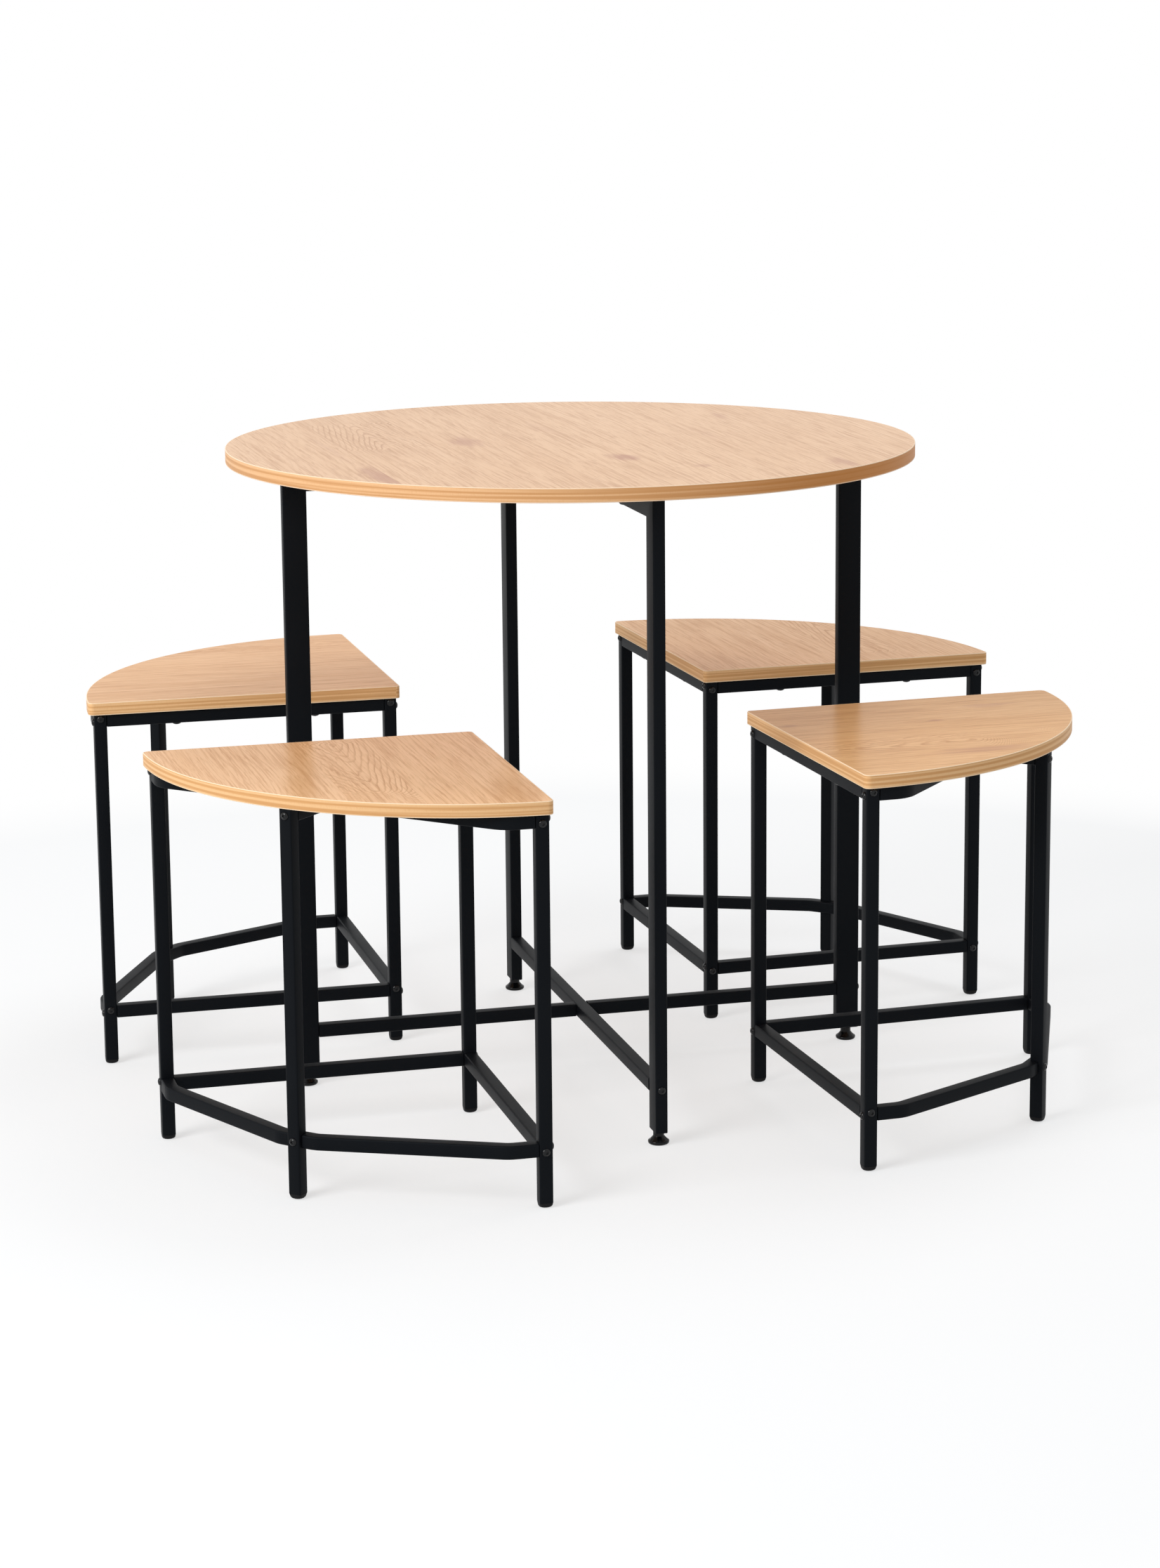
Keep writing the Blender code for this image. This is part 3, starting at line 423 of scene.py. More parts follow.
def stool_pieces():
    """Every piece of one stool in its own axes: (name, shells, material, slot, nodes)."""
    pieces = []
    for leg, (centre, side) in stool_leg_places().items():
        across = np.cross(Z, side)
        tube = straight_tube(centre + Z * CAP_HEIGHT, centre + Z * STOOL_LEG_TOP, side, across, TUBE, TUBE)
        heads = [
            bolt_head(centre - axis * TUBE / 2 + Z * (height + stagger), axis)
            for height in (LOWER_RING, UPPER_RING) for axis, stagger in LEG_BOLTS[leg]
        ]
        pieces.append((leg + "_tube", [tube], "powder", "powder_coat", (leg,)))
        pieces.append((leg + "_foot_cap", [foot_cap(centre, side)], "plastic", "foot_plastic", (leg,)))
        pieces.append((leg + "_bolt_heads", heads, "bolt", "powder_coat", (leg,)))
    for level, height in (("lower", LOWER_RING), ("upper", UPPER_RING)):
        for side, axis, across in (("right", X, Y), ("left", Y, X)):
            rail = level + "_" + side + "_rail"
            start, end = (across * EDGE_INSET + axis * reach + Z * height for reach in (RAIL_START, RAIL_END))
            pieces.append((rail + "_tube", [straight_tube(start, end, across, Z, TUBE, TUBE)],
                           "powder", "powder_coat", (rail,)))
            if level == "upper":
                heads = [
                    screw_head(start + (end - start) * share - Z * TUBE / 2, Z) for share in SEAT_SCREW_SHARES
                ]
                pieces.append((rail + "_seat_screws", heads, "bolt", "powder_coat", (rail,)))
    saddle = TUBE / 2 - ARC_SET_IN - GAP
    lower = bent_tube(arc_bar_corners("lower"), LOWER_RING, saddle)
    corners = arc_bar_corners("upper")
    bar_face = np.linalg.norm(corners[1] + corners[2]) / 2 + TUBE / 2
    start, end = (DIAGONAL * reach + Z * UPPER_RING for reach in (bar_face - STRUT_WELD, ARC_INNER_FACE))
    strut = straight_tube(start, end, np.cross(DIAGONAL, Z), Z, TUBE, TUBE)
    pieces.append(("lower_arc_bar_tube", [lower], "powder", "powder_coat", ("lower_arc_bar",)))
    pieces.append(("upper_arc_bar_tube", [bent_tube(corners, UPPER_RING), strut],
                   "powder", "powder_coat", ("upper_arc_bar",)))
    return pieces


def build_stools(materials):
    """The pieces of one stool, made once and placed four times, with a seat of its own wood for each."""
    pieces = stool_pieces()
    panel = board_panel(seat_outline, SEAT_HEIGHT, SEAT_THICKNESS)
    band, band_uv = board_band(seat_outline, SEAT_HEIGHT, SEAT_THICKNESS)
    for stool, place in STOOLS.items():
        for name, shells, material, slot, nodes in pieces:
            make_piece(
                stool + "_" + name, [placed(shell, *place) for shell in shells], materials[material],
                stool, [stool + "_" + node for node in nodes],
            )
        seat = [stool + "_seat"]
        make_piece(seat[0] + "_panel", [placed(panel, *place)], materials[stool], stool, seat)
        make_piece(seat[0] + "_edge_band", [placed(band, *place)], materials["seat_band"], stool,
                   seat, band_uv)


def mitred_tube(stations):
    """A flat tube whose ends may lean: stations of (centre, direction of the wide side)."""
    outline = rounded_outline(FLAT_DEPTH, FLAT_WIDTH, TUBE_CORNER)
    centres, sides = zip(*stations)
    return closed_shell(carry(centres, sides, [Y] * len(stations), outline))


def leg_plug(centre):
    """The visible lip of the plug in a leg's lower end, with a small arris below and above."""
    lip = [(PLUG_SET_BACK, 0.0), (0.0, PLUG_ARRIS), (0.0, PLUG_LIP - PLUG_EDGE), (PLUG_ARRIS, PLUG_LIP)]
    outlines = [rounded_outline(FLAT_DEPTH - 2 * i, FLAT_WIDTH - 2 * i, TUBE_CORNER - i) for i, _ in lip]
    centres = [centre + Z * (LEG_FOOT_SPACE + z) for _, z in lip]
    return closed_shell(carry(centres, [X] * 4, [Y] * 4, outlines))


def levelling_foot(centre):
    """A turned foot: a disc rounded below and above, a flare that falls to the neck, and the stud."""
    edge, fall = np.linspace(0, pi / 2, FOOT_POINTS), np.linspace(0, 1, FOOT_POINTS)
    sole, rim = FOOT_RADIUS - FOOT_SOLE_ROUND, FOOT_RADIUS - FOOT_RIM_ROUND
    spread, neck_top = FOOT_FLARE_RADIUS - FOOT_NECK_RADIUS, LEG_FOOT_SPACE - GAP
    profile = [(FOOT_SOLE_ROUND * (1 - cos(a)), sole + FOOT_SOLE_ROUND * sin(a)) for a in edge]
    profile += [(FOOT_RIM_TOP + FOOT_RIM_ROUND * sin(a), rim + FOOT_RIM_ROUND * cos(a)) for a in edge]
    profile += [
        (FOOT_FLARE_START + FOOT_FLARE_RISE * t, FOOT_NECK_RADIUS + spread * (1 - t) ** FOOT_FLARE_POWER)
        for t in fall
    ]
    profile += [
        (neck_top - FOOT_NECK_ARRIS, FOOT_NECK_RADIUS), (neck_top, FOOT_NECK_RADIUS - FOOT_NECK_ARRIS),
        (neck_top, FOOT_STUD_RADIUS), (FOOT_STUD_TOP, FOOT_STUD_RADIUS),
    ]
    return turned(centre, Z, profile, FINE_SIDES)


def table_leg(materials, name, turn):
    """One leg with its plug, the brace bolt and the levelling foot, drawn along +X and turned."""
    centre = X * LEG_REACH
    tube = mitred_tube([(centre + Z * (LEG_FOOT_SPACE + PLUG_LIP), X), (centre + Z * TOP_RAIL, X + Z)])
    head = bolt_head(centre + X * FLAT_DEPTH / 2 + Z * BRACE_HEIGHT, -X)
    node, foot = "table_" + name + "_leg", name + "_levelling_foot"
    for piece, shell, material, body, slot, replaced in (
        (node + "_tube", tube, "powder", "table", "powder_coat", node),
        (node + "_plug", leg_plug(centre), "plastic", "table", "foot_plastic", node),
        (node + "_bolt_head", head, "bolt", "table", "powder_coat", node),
        (foot + "_turned", levelling_foot(centre), "foot", foot, "foot_plastic", foot),
    ):
        make_piece(piece, [placed(shell, *TABLE_AXIS, turn)], materials[material], body, [replaced])


def table_rails(materials):
    """The long top rail and brace, and the half ones that meet them from both sides."""
    def rail(first, last):
        leans = [X * np.sign(x) if abs(x) >= LEG_REACH else 0 * X for x in (first, last)]
        return mitred_tube([(X * x + Z * TOP_RAIL, Z + lean) for x, lean in zip((first, last), leans)])

    def brace(first, last):
        return straight_tube(X * first + Z * BRACE_HEIGHT, X * last + Z * BRACE_HEIGHT, Y, Z, TUBE, TUBE)

    def screw(x):
        return screw_head(X * x + Z * (TOP_RAIL - FLAT_DEPTH / 2), Z)

    end = LEG_REACH - FLAT_DEPTH / 2 - GAP
    screw_reach = LEG_REACH * TOP_SCREW_SHARE
    halves = [rail(FLAT_WIDTH / 2 + GAP, LEG_REACH)], [screw(screw_reach)], [brace(TUBE / 2 + GAP, end)]
    whole = [rail(-LEG_REACH, LEG_REACH)], [screw(screw_reach), screw(-screw_reach)], [brace(-end, end)]
    for name, parts in (("left", halves), ("right", halves), ("long", whole)):
        turn = {"left": 180.0, "right": 0.0, "long": 90.0}[name]
        top_rail, brace_node = name + "_top_rail", name + "_brace"
        for piece, shells, material, node in (
            (top_rail + "_tube", parts[0], "powder", top_rail),
            (top_rail + "_screw_heads", parts[1], "bolt", top_rail),
            (brace_node + "_tube", parts[2], "powder", brace_node),
        ):
            turned_shells = [placed(shell, *TABLE_AXIS, turn) for shell in shells]
            make_piece(piece, turned_shells, materials[material], "table", [node])


def build_table(materials):
    """The legs, the rails and the top board."""
    for name, turn in ARMS.items():
        table_leg(materials, name, turn)
    table_rails(materials)
    panel = board_panel(top_outline, TABLE_HEIGHT, TOP_THICKNESS)
    band, band_uv = board_band(top_outline, TABLE_HEIGHT, TOP_THICKNESS)
    top = ["table_top"]
    make_piece(top[0] + "_panel", [panel], materials["top"], "table", top)
    make_piece(top[0] + "_edge_band", [band], materials["top_band"], "table", top, band_uv)


# Shader helper: expressions on sockets

class Socket:
    """A node socket that takes part in Python sums and products by adding Math nodes."""

    def __init__(self, shader, link):
        self.shader, self.link = shader, link

    def math(self, operation, *others):
        sockets = {0: self}
        sockets.update({i + 1: other for i, other in enumerate(others)})
        return self.shader.node("ShaderNodeMath", {"operation": operation}, sockets)

    def __add__(self, other):
        return self.math("ADD", other)

    def __sub__(self, other):
        return self.math("SUBTRACT", other)

    def __mul__(self, other):
        return self.math("MULTIPLY", other)

    def __truediv__(self, other):
        return self.math("DIVIDE", other)

    def __neg__(self):
        return self * -1

    def __rsub__(self, other):
        return -self + other

    __radd__, __rmul__ = __add__, __mul__

    def step(self, low, high):
        """0 below low, 1 above high, smooth between."""
        settings = {"interpolation_type": "SMOOTHSTEP"}
        sockets = {"Value": self, "From Min": low, "From Max": high}
        return self.shader.node("ShaderNodeMapRange", settings, sockets)

    def part(self, name):
        """Another output of the same node."""
        return Socket(self.shader, self.link.node.outputs[name])


class Shader:
    """One material, built up from expressions."""

    def __init__(self, name):
        self.material = bpy.data.materials.new(name)
        self.material.use_nodes = True
        self.tree = self.material.node_tree
        self.tree.nodes.clear()
        self.output = self.tree.nodes.new("ShaderNodeOutputMaterial")

    def node(self, kind, settings=None, sockets=None, out=0):
        """A node of that kind: settings first, then values or links by socket name or number."""
        made = self.tree.nodes.new(kind)
        for key, value in (settings or {}).items():
            setattr(made, key, value)
        for key, value in (sockets or {}).items():
            if isinstance(value, Socket):
                self.tree.links.new(value.link, made.inputs[key])
            elif isinstance(value, tuple) and made.inputs[key].type == "RGBA":
                made.inputs[key].default_value = (*value, 1)
            else:
                made.inputs[key].default_value = value
        return Socket(self, made.outputs[out])

    def object_point(self):
        """The point in the object's own metres."""
        return self.node("ShaderNodeTexCoord", out="Object")

    def uv_point(self):
        """The point along and across an edge band, from its own UV map."""
        return self.node("ShaderNodeTexCoord", out="UV")

    def mapped(self, point, turn, place):
        """The point turned about the upright axis, then moved."""
        sockets = {"Vector": point, "Location": place, "Rotation": (0, 0, turn)}
        return self.node("ShaderNodeMapping", {}, sockets)

    def noise(self, point, scale, detail, roughness=0.5):
        """Noise with its scale in waves per metre."""
        sockets = {"Vector": point, "Scale": scale, "Detail": detail, "Roughness": roughness}
        return self.node("ShaderNodeTexNoise", {}, sockets, out="Fac")

    def drawn_noise(self, first, second, layer, detail, roughness=0.5):
        """Noise on two scaled coordinates, drawn out along the one with fewer waves; layer sets its place."""
        return self.noise(self.join(first, second, layer), 1.0, detail, roughness)

    def split(self, point):
        parts = self.node("ShaderNodeSeparateXYZ", {}, {0: point})
        return parts.part("X"), parts.part("Y"), parts.part("Z")

    def join(self, x, y, z):
        return self.node("ShaderNodeCombineXYZ", {}, {0: x, 1: y, 2: z})

    def mix(self, factor, first, second):
        """Colours mixed by a factor."""
        made = self.tree.nodes.new("ShaderNodeMix")
        made.data_type, made.blend_type = "RGBA", "MIX"
        for socket, value in ((made.inputs[0], factor), (made.inputs[6], first), (made.inputs[7], second)):
            if isinstance(value, Socket):
                self.tree.links.new(value.link, socket)
            elif isinstance(value, tuple):
                socket.default_value = (*value, 1)
            else:
                socket.default_value = value
        return Socket(self, made.outputs[2])

    def bump(self, height, distance, strength):
        sockets = {"Height": height, "Distance": distance, "Strength": strength}
        return self.node("ShaderNodeBump", {}, sockets, out="Normal")

    def surface(self, **sockets):
        """The Principled surface, by socket names with underscores for spaces."""
        named = {key.replace("_", " "): value for key, value in sockets.items()}
        surface = self.node("ShaderNodeBsdfPrincipled", {}, named)
        self.tree.links.new(surface.link, self.output.inputs["Surface"])
        return self.material


# Materials

# The darker and the lighter black of each coat or plastic, and the tint of the coat's sheen
POWDER_BLACK = ((0.0032, 0.0036, 0.0048), (0.0054, 0.0060, 0.0076))
CAP_BLACK = ((0.0045, 0.0045, 0.0050), (0.0100, 0.0100, 0.0110))
FOOT_BLACK = ((0.0010, 0.0011, 0.0014), (0.0022, 0.0024, 0.0030))
BOLT_BLACK = ((0.0030, 0.0033, 0.0040), (0.0065, 0.0070, 0.0080))
SHEEN = (0.80, 0.93, 1.0)

# Wood figure, in metres: growth lines, arches, how far from its middle the figure fades out, and
# where along X the painted shade on the table's edge band comes in, on the side turned from the key lamp
LINE_SPACING, ARCH_LINE_SPACING, ARCH_SPACING = 0.0062, 0.0060, 0.040
FIGURE_FADE, PAINTED_SHADE_RANGE = (0.12, 0.25), (-0.12, 0.22)

# Between which values each layer of a board's face goes from nothing to full
LINE_RISE, LINE_FALL, LINE_FADE = (0.52, 0.88), (0.91, 1.0), (0.44, 0.66)
CLOUD_RANGE, BROAD_RANGE, STREAK_RANGE = (0.32, 0.70), (0.36, 0.68), (0.45, 0.66)
PORE_RANGE, SEAM_RANGE, SMUDGE_RANGE = (0.54, 0.68), (0.970, 0.998), (0.20, 1.20)

# How strong each layer of a board's face is
STRIP_SHARE, CLOUD_SHARE, BROAD_SHARE = 0.36, 0.44, 0.24
ARCH_SHARE, LINE_SHARE, LEAST_LINE = 0.40, 0.30, 0.03
STREAK_SHARE, PORE_SHARE, SEAM_SHARE, MOST_SMUDGE = 0.46, 0.46, 0.24, 0.85

# The same for the edge bands
STRIPE_RANGE, FINE_RANGE, TICK_RANGE = (0.40, 0.60), (0.54, 0.70), (0.50, 0.74)
STRIPE_SHARE, FINE_SHARE, DARK_FINE_SHARE, TICK_SHARE = 0.78, 0.22, 0.25, 0.22
UPPER_RIM, LOWER_RIM, LOWER_RIM_SHARE = (0.93, 0.965), (0.05, 0.09), 0.9


def powder_coat():
    """Fine satin black powder coat: a faint orange-peel bump with slightly uneven gloss."""
    s = Shader("powder_coat_fine")
    p = s.object_point()
    peel = s.noise(p, 900, 2.0)
    cloud = s.noise(p, 14, 3.0)
    return s.surface(
        Base_Color=s.mix(cloud, *POWDER_BLACK), Roughness=cloud * 0.10 + peel * 0.06 + 0.40, IOR=1.16,
        Specular_Tint=SHEEN, Normal=s.bump(peel, 0.00008, 0.5),
    )


def moulded_plastic(name, blacks, roughness, ior):
    """Black moulded plastic with a fine spark-eroded grain."""
    s = Shader(name)
    p = s.object_point()
    grain = s.noise(p, 1500, 2.0)
    colour = s.mix(s.noise(p, 60, 2.0), *blacks)
    return s.surface(
        Base_Color=colour, Roughness=grain * 0.12 + roughness, IOR=ior, Normal=s.bump(grain, 0.00006, 0.6),
    )


def bolt_black():
    """Black-oxide steel, a little glossier than the powder coat."""
    s = Shader("bolt_black_oxide")
    cloud = s.noise(s.object_point(), 260, 3.0)
    return s.surface(Base_Color=s.mix(cloud, *BOLT_BLACK), Roughness=cloud * 0.06 + 0.12, IOR=1.34)


def smudge(x, y, strip, ragged, place, strips):
    """A soft spot within one strip: its strength at the middle, 0 past its half width and half length."""
    middle_x, middle_y, half_width, half_length, strength = place
    far_x, far_y = (x - middle_x) / half_width, (y - middle_y) / half_length
    far = (far_x * far_x + far_y * far_y).math("SQRT") + ragged
    inside = strip.math("COMPARE", (middle_x - strips[1]) // strips[0], 0.5)
    return (1 - far.step(*SMUDGE_RANGE)) * inside * strength


def oak_face(name, seed, board, tones, strips, figure, smudges, smudge_colour):
    """Oak-look laminate: strips side by side along the grain, each with its own tone and figure.

    The point is moved into the board's own axes, with the grain along the second one. Growth lines
    are the fraction of a climb across the grain, made uneven by slow noise; in the figured strip
    they are the fraction of along / arch spacing + the root of (across / line spacing) squared + 1,
    which draws arches one inside another. Streaks and pores are noise drawn out along the grain.
    Waves per metre across and along the grain stand in the factors of x and y.
    """
    s = Shader(name)
    pale, deep, dark = tones
    strip_width, first_seam = strips
    x, y, _ = s.split(s.mapped(s.object_point(), *board))
    strip = ((x - first_seam) / strip_width).math("FLOOR")
    across = (x - first_seam) / strip_width - strip - 0.5
    chance = s.node("ShaderNodeTexWhiteNoise", {"noise_dimensions": "1D"}, {"W": strip + seed}, out="Color")
    first, second, third = s.split(chance)
    waver = s.drawn_noise(x * 34, y * 8, first * 9 + seed, 4.0, 0.55) - 0.5
    swell = s.drawn_noise(x * 9, y * 2.4, second * 9 + seed, 2.0) - 0.5
    straight = (x + swell * 0.06 + waver * 0.010) / LINE_SPACING
    figure_x, figure_y, figure_side = figure
    lean = (x - figure_x + swell * 0.028 + waver * 0.012) / ARCH_LINE_SPACING
    climb = (y - figure_y + waver * 0.15 + swell * 0.08) * (figure_side / ARCH_SPACING)
    arches = climb + (lean * lean + 1).math("SQRT")
    beyond = (y - figure_y).math("ABSOLUTE").step(*FIGURE_FADE)
    figure_strip = (figure_x - first_seam) // strip_width
    figured = strip.math("COMPARE", figure_strip, 0.5) * (1 - beyond)
    growth = (figured * arches + (1 - figured) * straight).math("FRACT")
    line = growth.step(*LINE_RISE) * (1 - growth.step(*LINE_FALL))
    fade = s.drawn_noise(x * 46, y * 6, third * 8 + seed, 2.0).step(*LINE_FADE)
    broad = s.drawn_noise(x * 120, y * 3.2, third * 5 + seed, 3.0, 0.6).step(*BROAD_RANGE)
    streak = s.drawn_noise(x * 330, y * 7, first * 5 + seed, 3.0, 0.65)
    pores = s.drawn_noise(x * 640, y * 24, second * 7 + seed, 3.0, 0.6).step(*PORE_RANGE)
    cloud = s.drawn_noise(x * 10, y * 2.6, third * 13 + seed, 3.0).step(*CLOUD_RANGE)
    seam = (across.math("ABSOLUTE") * 2).step(*SEAM_RANGE)
    tone = third * STRIP_SHARE + cloud * CLOUD_SHARE + broad * BROAD_SHARE
    colour = s.mix(tone, pale, deep)
    colour = s.mix(line * (figured * ARCH_SHARE + fade * LINE_SHARE + LEAST_LINE), colour, dark)
    colour = s.mix(streak.step(*STREAK_RANGE) * STREAK_SHARE, colour, dark)
    colour = s.mix(pores * PORE_SHARE + seam * SEAM_SHARE, colour, dark)
    ragged = (s.drawn_noise(x * 110, y * 16, seed, 4.0, 0.6) - 0.5) * 1.7
    spots = sum(smudge(x, y, strip, ragged, spot, strips) for spot in smudges)
    colour = s.mix(spots.math("MINIMUM", MOST_SMUDGE), colour, smudge_colour)
    height = streak * 0.4 - pores * 0.5 - line * 0.3
    return s.surface(
        Base_Color=colour, Roughness=streak * 0.08 + 0.20, IOR=1.08, Normal=s.bump(height, 0.00003, 0.4),
    )


def edge_band(name, rim_colour, pale, deep, painted_shade):
    """Striped edge band: lengthwise lines that waver a little, with a pale rim at both faces.

    Shade is painted into the colour towards +X, where the band turns away from the key lamp, by the share
    given in the last argument. The factors of u are waves per metre along the edge, and those of v are waves
    across the board's thickness.
    """
    s = Shader(name)
    x, _, _ = s.split(s.object_point())
    u, v, _ = s.split(s.uv_point())
    waver = s.drawn_noise(u * 6, v * 1.5, 0.0, 2.0) - 0.5
    stripes = s.drawn_noise(u * 2.2, v * 5.2 + waver * 0.5, 3.0, 2.0).step(*STRIPE_RANGE)
    fine = s.drawn_noise(u * 34, v * 22 + waver * 2, 0.0, 3.0, 0.6)
    ticks = s.drawn_noise(u * 900, v * 2.5, 5.0, 2.0).step(*TICK_RANGE)
    colour = s.mix(stripes * STRIPE_SHARE + fine * FINE_SHARE, deep, pale)
    colour = s.mix(fine.step(*FINE_RANGE) * DARK_FINE_SHARE + ticks * TICK_SHARE, colour, deep)
    # Painted shade: the band's colour darkens towards +X, the side turned away from the key lamp
    colour = s.mix(x.step(*PAINTED_SHADE_RANGE) * painted_shade, colour, PAINTED_SHADE_COLOUR)
    rim = v.step(*UPPER_RIM) + (1 - v.step(*LOWER_RIM)) * LOWER_RIM_SHARE
    colour = s.mix(rim, colour, rim_colour)
    return s.surface(
        Base_Color=colour, Roughness=fine * 0.12 + 0.36, IOR=1.14,
        Normal=s.bump(stripes * 0.6 + fine * 0.4, 0.00008, 0.5),
    )


def board_axes(x, y, turn):
    """The mapping that takes a point into a board's own axes: turned back, then moved back."""
    c, s = cos(radians(-turn)), sin(radians(-turn))
    return radians(-turn), (-c * x + s * y, -s * x - c * y, 0)


# Knots and darker stretches, in each board's own axes: middle x and y, half width, half length, strength
TABLE_SMUDGES = (
    (-0.117, 0.030, 0.022, 0.052, 0.60), (0.020, -0.160, 0.019, 0.032, 0.72),
    (0.083, -0.257, 0.013, 0.018, 0.45), (0.243, -0.280, 0.020, 0.042, 0.52),
    (0.236, 0.180, 0.009, 0.040, 0.40), (-0.268, -0.235, 0.026, 0.115, 0.66),
    (-0.281, 0.000, 0.006, 0.110, 0.22), (0.000, 0.120, 0.013, 0.075, 0.14),
    (0.170, 0.020, 0.012, 0.075, 0.14),
)
SEAT_SMUDGES = {
    "front_left_stool": (
        (0.238, 0.235, 0.020, 0.085, 0.30), (0.216, 0.125, 0.022, 0.090, 0.26),
        (0.204, 0.020, 0.022, 0.060, 0.30), (0.028, 0.320, 0.030, 0.090, 0.38),
    ),
    "back_left_stool": ((0.090, 0.190, 0.014, 0.210, 0.22), (0.300, 0.120, 0.016, 0.120, 0.16)),
    "back_right_stool": ((0.160, 0.180, 0.016, 0.150, 0.24), (0.080, 0.300, 0.020, 0.060, 0.18)),
    "front_right_stool": (
        (0.058, 0.276, 0.018, 0.040, 0.34), (0.128, 0.184, 0.010, 0.013, 0.60),
        (0.290, 0.172, 0.021, 0.065, 0.42), (0.100, 0.016, 0.009, 0.014, 0.45),
    ),
}

# Where each board's arched figure stands, and to which side its arches point
TABLE_FIGURE = (-0.212, 0.120, 1)
FIGURES = {
    "front_left_stool": (0.166, 0.150, 1), "back_left_stool": (0.320, 0.120, -1),
    "back_right_stool": (0.240, 0.180, 1), "front_right_stool": (0.240, 0.060, -1),
}

# Strips of laminate: their width and the place of one seam
TABLE_STRIPS, SEAT_STRIPS = (0.103, -0.265), (0.074, 0.055)

# Where each board's noise starts: the table, the first seat, and the step to the next seat
TABLE_SEED, SEAT_SEED, SEED_STEP = 3.7, 8.3, 5.9

# Wood colours: pale, deep and dark for each board; rim, pale and deep for the edge bands
# The last colour on the next line is painted shade for the table's edge band, where it turns from the key
# lamp
HONEY, SAPWOOD, PAINTED_SHADE_COLOUR = (0.56, 0.255, 0.080), (0.45, 0.205, 0.128), (0.58, 0.225, 0.052)
TABLE_TONES = ((0.826, 0.545, 0.336), (0.751, 0.470, 0.273), (0.470, 0.240, 0.118))
SEAT_TONES = {
    "front_left_stool": ((0.962, 0.616, 0.356), (0.884, 0.532, 0.279), (0.560, 0.258, 0.094)),
    "back_left_stool": ((0.870, 0.552, 0.318), (0.790, 0.470, 0.247), (0.508, 0.234, 0.089)),
    "back_right_stool": ((0.908, 0.582, 0.341), (0.824, 0.498, 0.267), (0.532, 0.248, 0.095)),
    "front_right_stool": ((0.838, 0.518, 0.266), (0.756, 0.438, 0.203), (0.474, 0.214, 0.072)),
}
TABLE_BAND = ((0.93, 0.71, 0.51), (0.87, 0.535, 0.285), (0.62, 0.315, 0.130))
SEAT_BAND = ((0.96, 0.74, 0.51), (0.86, 0.545, 0.280), (0.64, 0.330, 0.130))


def make_materials():
    """Every material by the key that the pieces ask for, a seat's face by its stool's name."""
    materials = {
        "powder": powder_coat(),
        "plastic": moulded_plastic("foot_cap_plastic", CAP_BLACK, roughness=0.44, ior=1.22),
        "foot": moulded_plastic("levelling_foot_plastic", FOOT_BLACK, roughness=0.14, ior=1.30),
        "bolt": bolt_black(),
        "top": oak_face(
            "table_oak_face", TABLE_SEED, board_axes(*TOP_AXIS, 0.0), TABLE_TONES, TABLE_STRIPS,
            TABLE_FIGURE, TABLE_SMUDGES, SAPWOOD,
        ),
        # The table's band gets painted shade towards +X; the seats' bands get none
        "top_band": edge_band("table_oak_band", *TABLE_BAND, painted_shade=0.78),
        "seat_band": edge_band("seat_oak_band", *SEAT_BAND, painted_shade=0.0),
    }
    for index, (stool, place) in enumerate(STOOLS.items()):
        materials[stool] = oak_face(
            stool + "_oak_face", SEAT_SEED + index * SEED_STEP, board_axes(*place), SEAT_TONES[stool],
            SEAT_STRIPS, FIGURES[stool], SEAT_SMUDGES[stool],
            SAPWOOD if stool == "front_right_stool" else HONEY,
        )
    return materials


# Floor, backdrop, lights and camera

FLOOR_HALF, FLOOR_DROP, FAR_EDGE = 12.0, 0.0004, (1.05, 1.75)
FLOOR_COLOUR, FLOOR_GLOW, FAR_FLOOR_LIGHT = (0.92, 0.94, 0.96), 0.60, 0.40
WORLD_LIGHT = 0.56
LAMP_AIM = (0, 0, 0.4)
CLIP_END = 60


def floor_material():
    """White studio floor: shaded near the set, so that it keeps a soft shadow, and plain white beyond."""
    s = Shader("studio_floor")
    x, y, _ = s.split(s.object_point())
    far = (x * x + y * y).math("SQRT").step(*FAR_EDGE)
    path = s.node("ShaderNodeLightPath", out="Is Camera Ray")
    seen = path.math("MAXIMUM", path.part("Is Glossy Ray"))
    near_surface = s.node("ShaderNodeBsdfDiffuse", {}, {"Color": FLOOR_COLOUR})
    glow = s.node("ShaderNodeMapRange", {}, {"Value": seen, "To Min": FAR_FLOOR_LIGHT, "To Max": 1.0})
    white = s.node("ShaderNodeEmission", {}, {"Color": (1.0, 1.0, 1.0), "Strength": glow})
    share = far.math("MAXIMUM", seen * FLOOR_GLOW)
    mixed = s.node("ShaderNodeMixShader", {}, {0: share, 1: near_surface, 2: white})
    s.tree.links.new(mixed.link, s.output.inputs["Surface"])
    return s.material


def make_floor():
    """One large square, a hair below the feet."""
    corners = [(x * FLOOR_HALF, y * FLOOR_HALF, 0) for x, y in ((-1, -1), (1, -1), (1, 1), (-1, 1))]
    mesh = bpy.data.meshes.new("studio_floor")
    mesh.from_pydata(corners, [], [(0, 1, 2, 3)])
    mesh.materials.append(floor_material())
    floor = bpy.data.objects.new("studio_floor", mesh)
    floor.location.z = -FLOOR_DROP
    bpy.context.scene.collection.objects.link(floor)


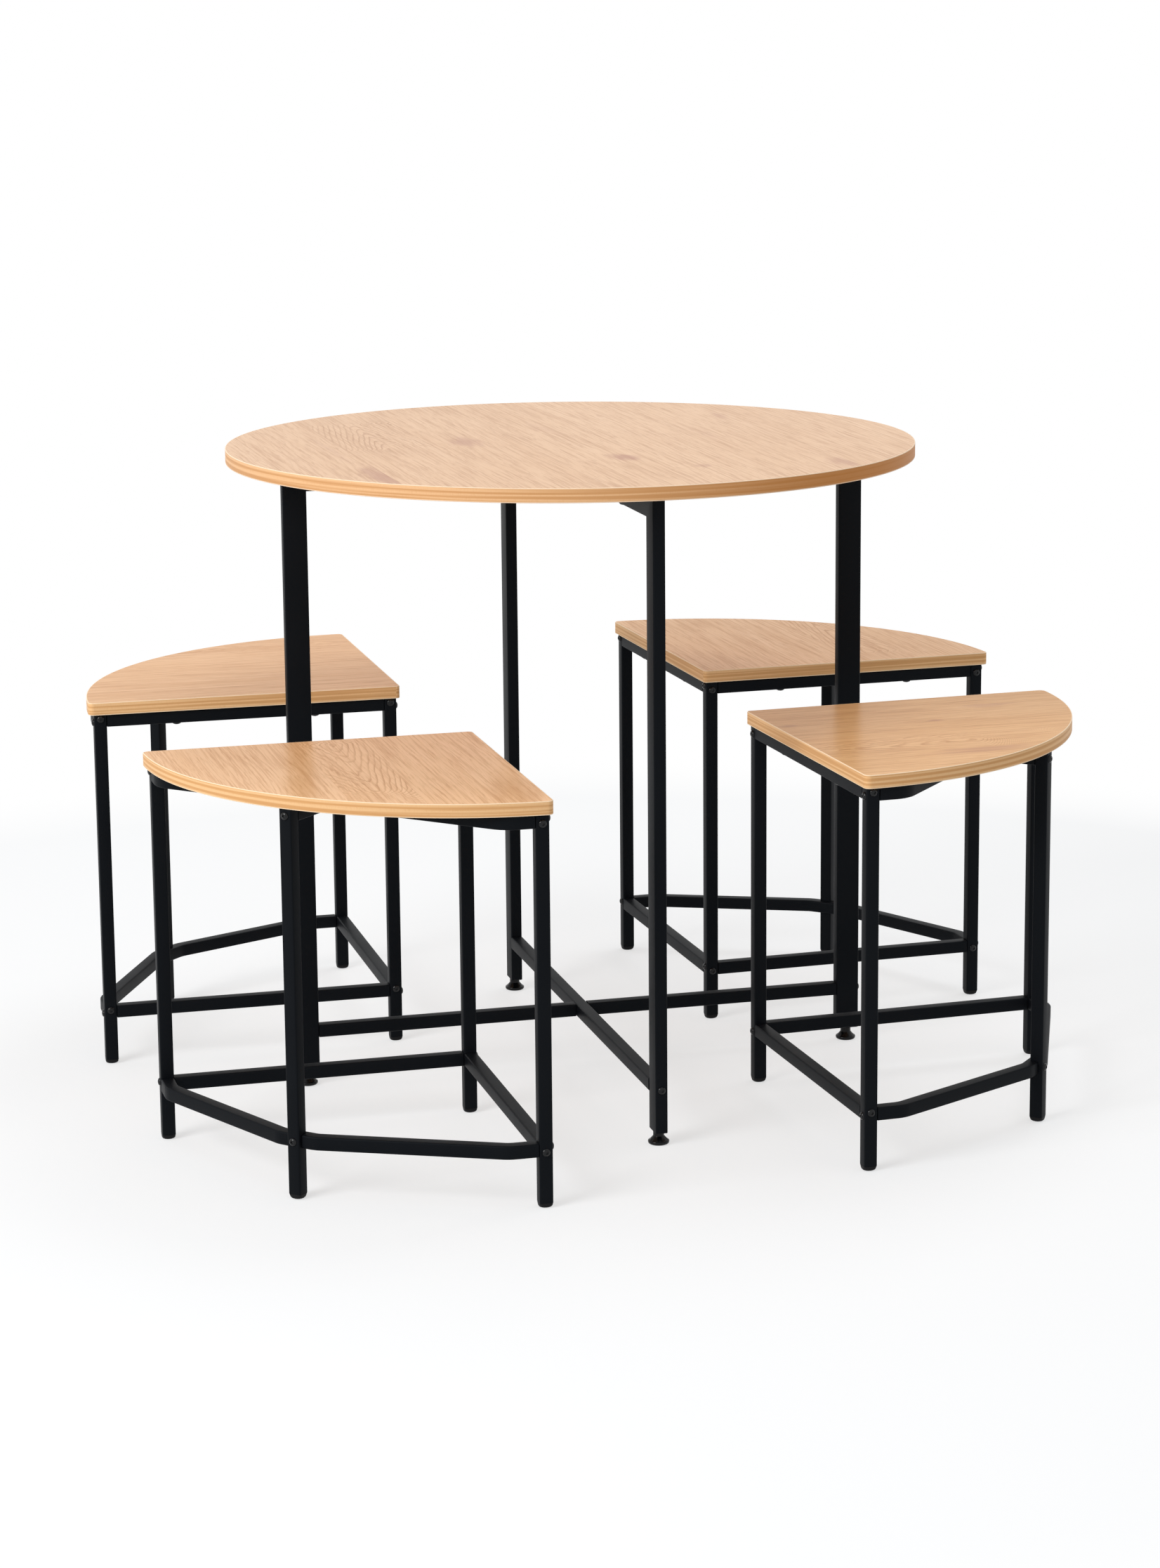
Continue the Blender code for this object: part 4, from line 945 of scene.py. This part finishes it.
def make_world():
    """Plain white where the camera or a reflection sees it, and a softer light on the set."""
    world = bpy.data.worlds.new("studio")
    bpy.context.scene.world = world
    world.use_nodes = True
    tree = world.node_tree
    tree.nodes.clear()
    path = tree.nodes.new("ShaderNodeLightPath")
    seen = tree.nodes.new("ShaderNodeMath")
    seen.operation = "MAXIMUM"
    tree.links.new(path.outputs["Is Camera Ray"], seen.inputs[0])
    tree.links.new(path.outputs["Is Glossy Ray"], seen.inputs[1])
    strength = tree.nodes.new("ShaderNodeMapRange")
    strength.inputs["To Min"].default_value = WORLD_LIGHT
    strength.inputs["To Max"].default_value = 1.0
    tree.links.new(seen.outputs[0], strength.inputs["Value"])
    background = tree.nodes.new("ShaderNodeBackground")
    background.inputs["Color"].default_value = (1, 1, 1, 1)
    tree.links.new(strength.outputs[0], background.inputs["Strength"])
    output = tree.nodes.new("ShaderNodeOutputWorld")
    tree.links.new(background.outputs[0], output.inputs["Surface"])


def make_lamp(name, place, size, power):
    """A round softbox that faces the middle of the set."""
    data = bpy.data.lights.new(name, "AREA")
    data.shape, data.size, data.energy = "DISK", size, power
    item = bpy.data.objects.new(name, data)
    item.rotation_euler = (Vector(place) - Vector(LAMP_AIM)).to_track_quat("Z", "Y").to_euler()
    item.location = place
    bpy.context.scene.collection.objects.link(item)


def make_camera():
    """The photograph's camera: its lens, its shifted middle, its place and its turn."""
    view = bpy.data.cameras.new("photo_camera")
    view.sensor_fit, view.sensor_height, view.sensor_width = "VERTICAL", SENSOR, SENSOR
    view.lens = FOCAL_PIXELS / PHOTO_HEIGHT * SENSOR
    view.shift_x = (PHOTO_WIDTH / 2 - CENTRE_X) / PHOTO_HEIGHT
    view.shift_y = (CENTRE_Y - PHOTO_HEIGHT / 2) / PHOTO_HEIGHT
    view.clip_end = CLIP_END
    camera = bpy.data.objects.new("photo_camera", view)
    turn = Matrix.Rotation(CAMERA_AZIMUTH, 4, "Z") @ Matrix.Rotation(pi / 2 - CAMERA_ELEVATION, 4, "X")
    turn = turn @ Matrix.Rotation(CAMERA_ROLL, 4, "Z")
    camera.matrix_world = Matrix.Translation(CAMERA_PLACE) @ turn
    bpy.context.scene.collection.objects.link(camera)
    bpy.context.scene.camera = camera
    bpy.context.scene.view_settings.view_transform = "Standard"


looks = make_materials()
build_table(looks)
build_stools(looks)
make_floor()
make_world()
make_lamp("key_softbox", (-3.9, -2.0, 2.8), size=2.6, power=158)
make_lamp("top_softbox", (1.5, 1.0, 3.9), size=2.4, power=40)
make_camera()
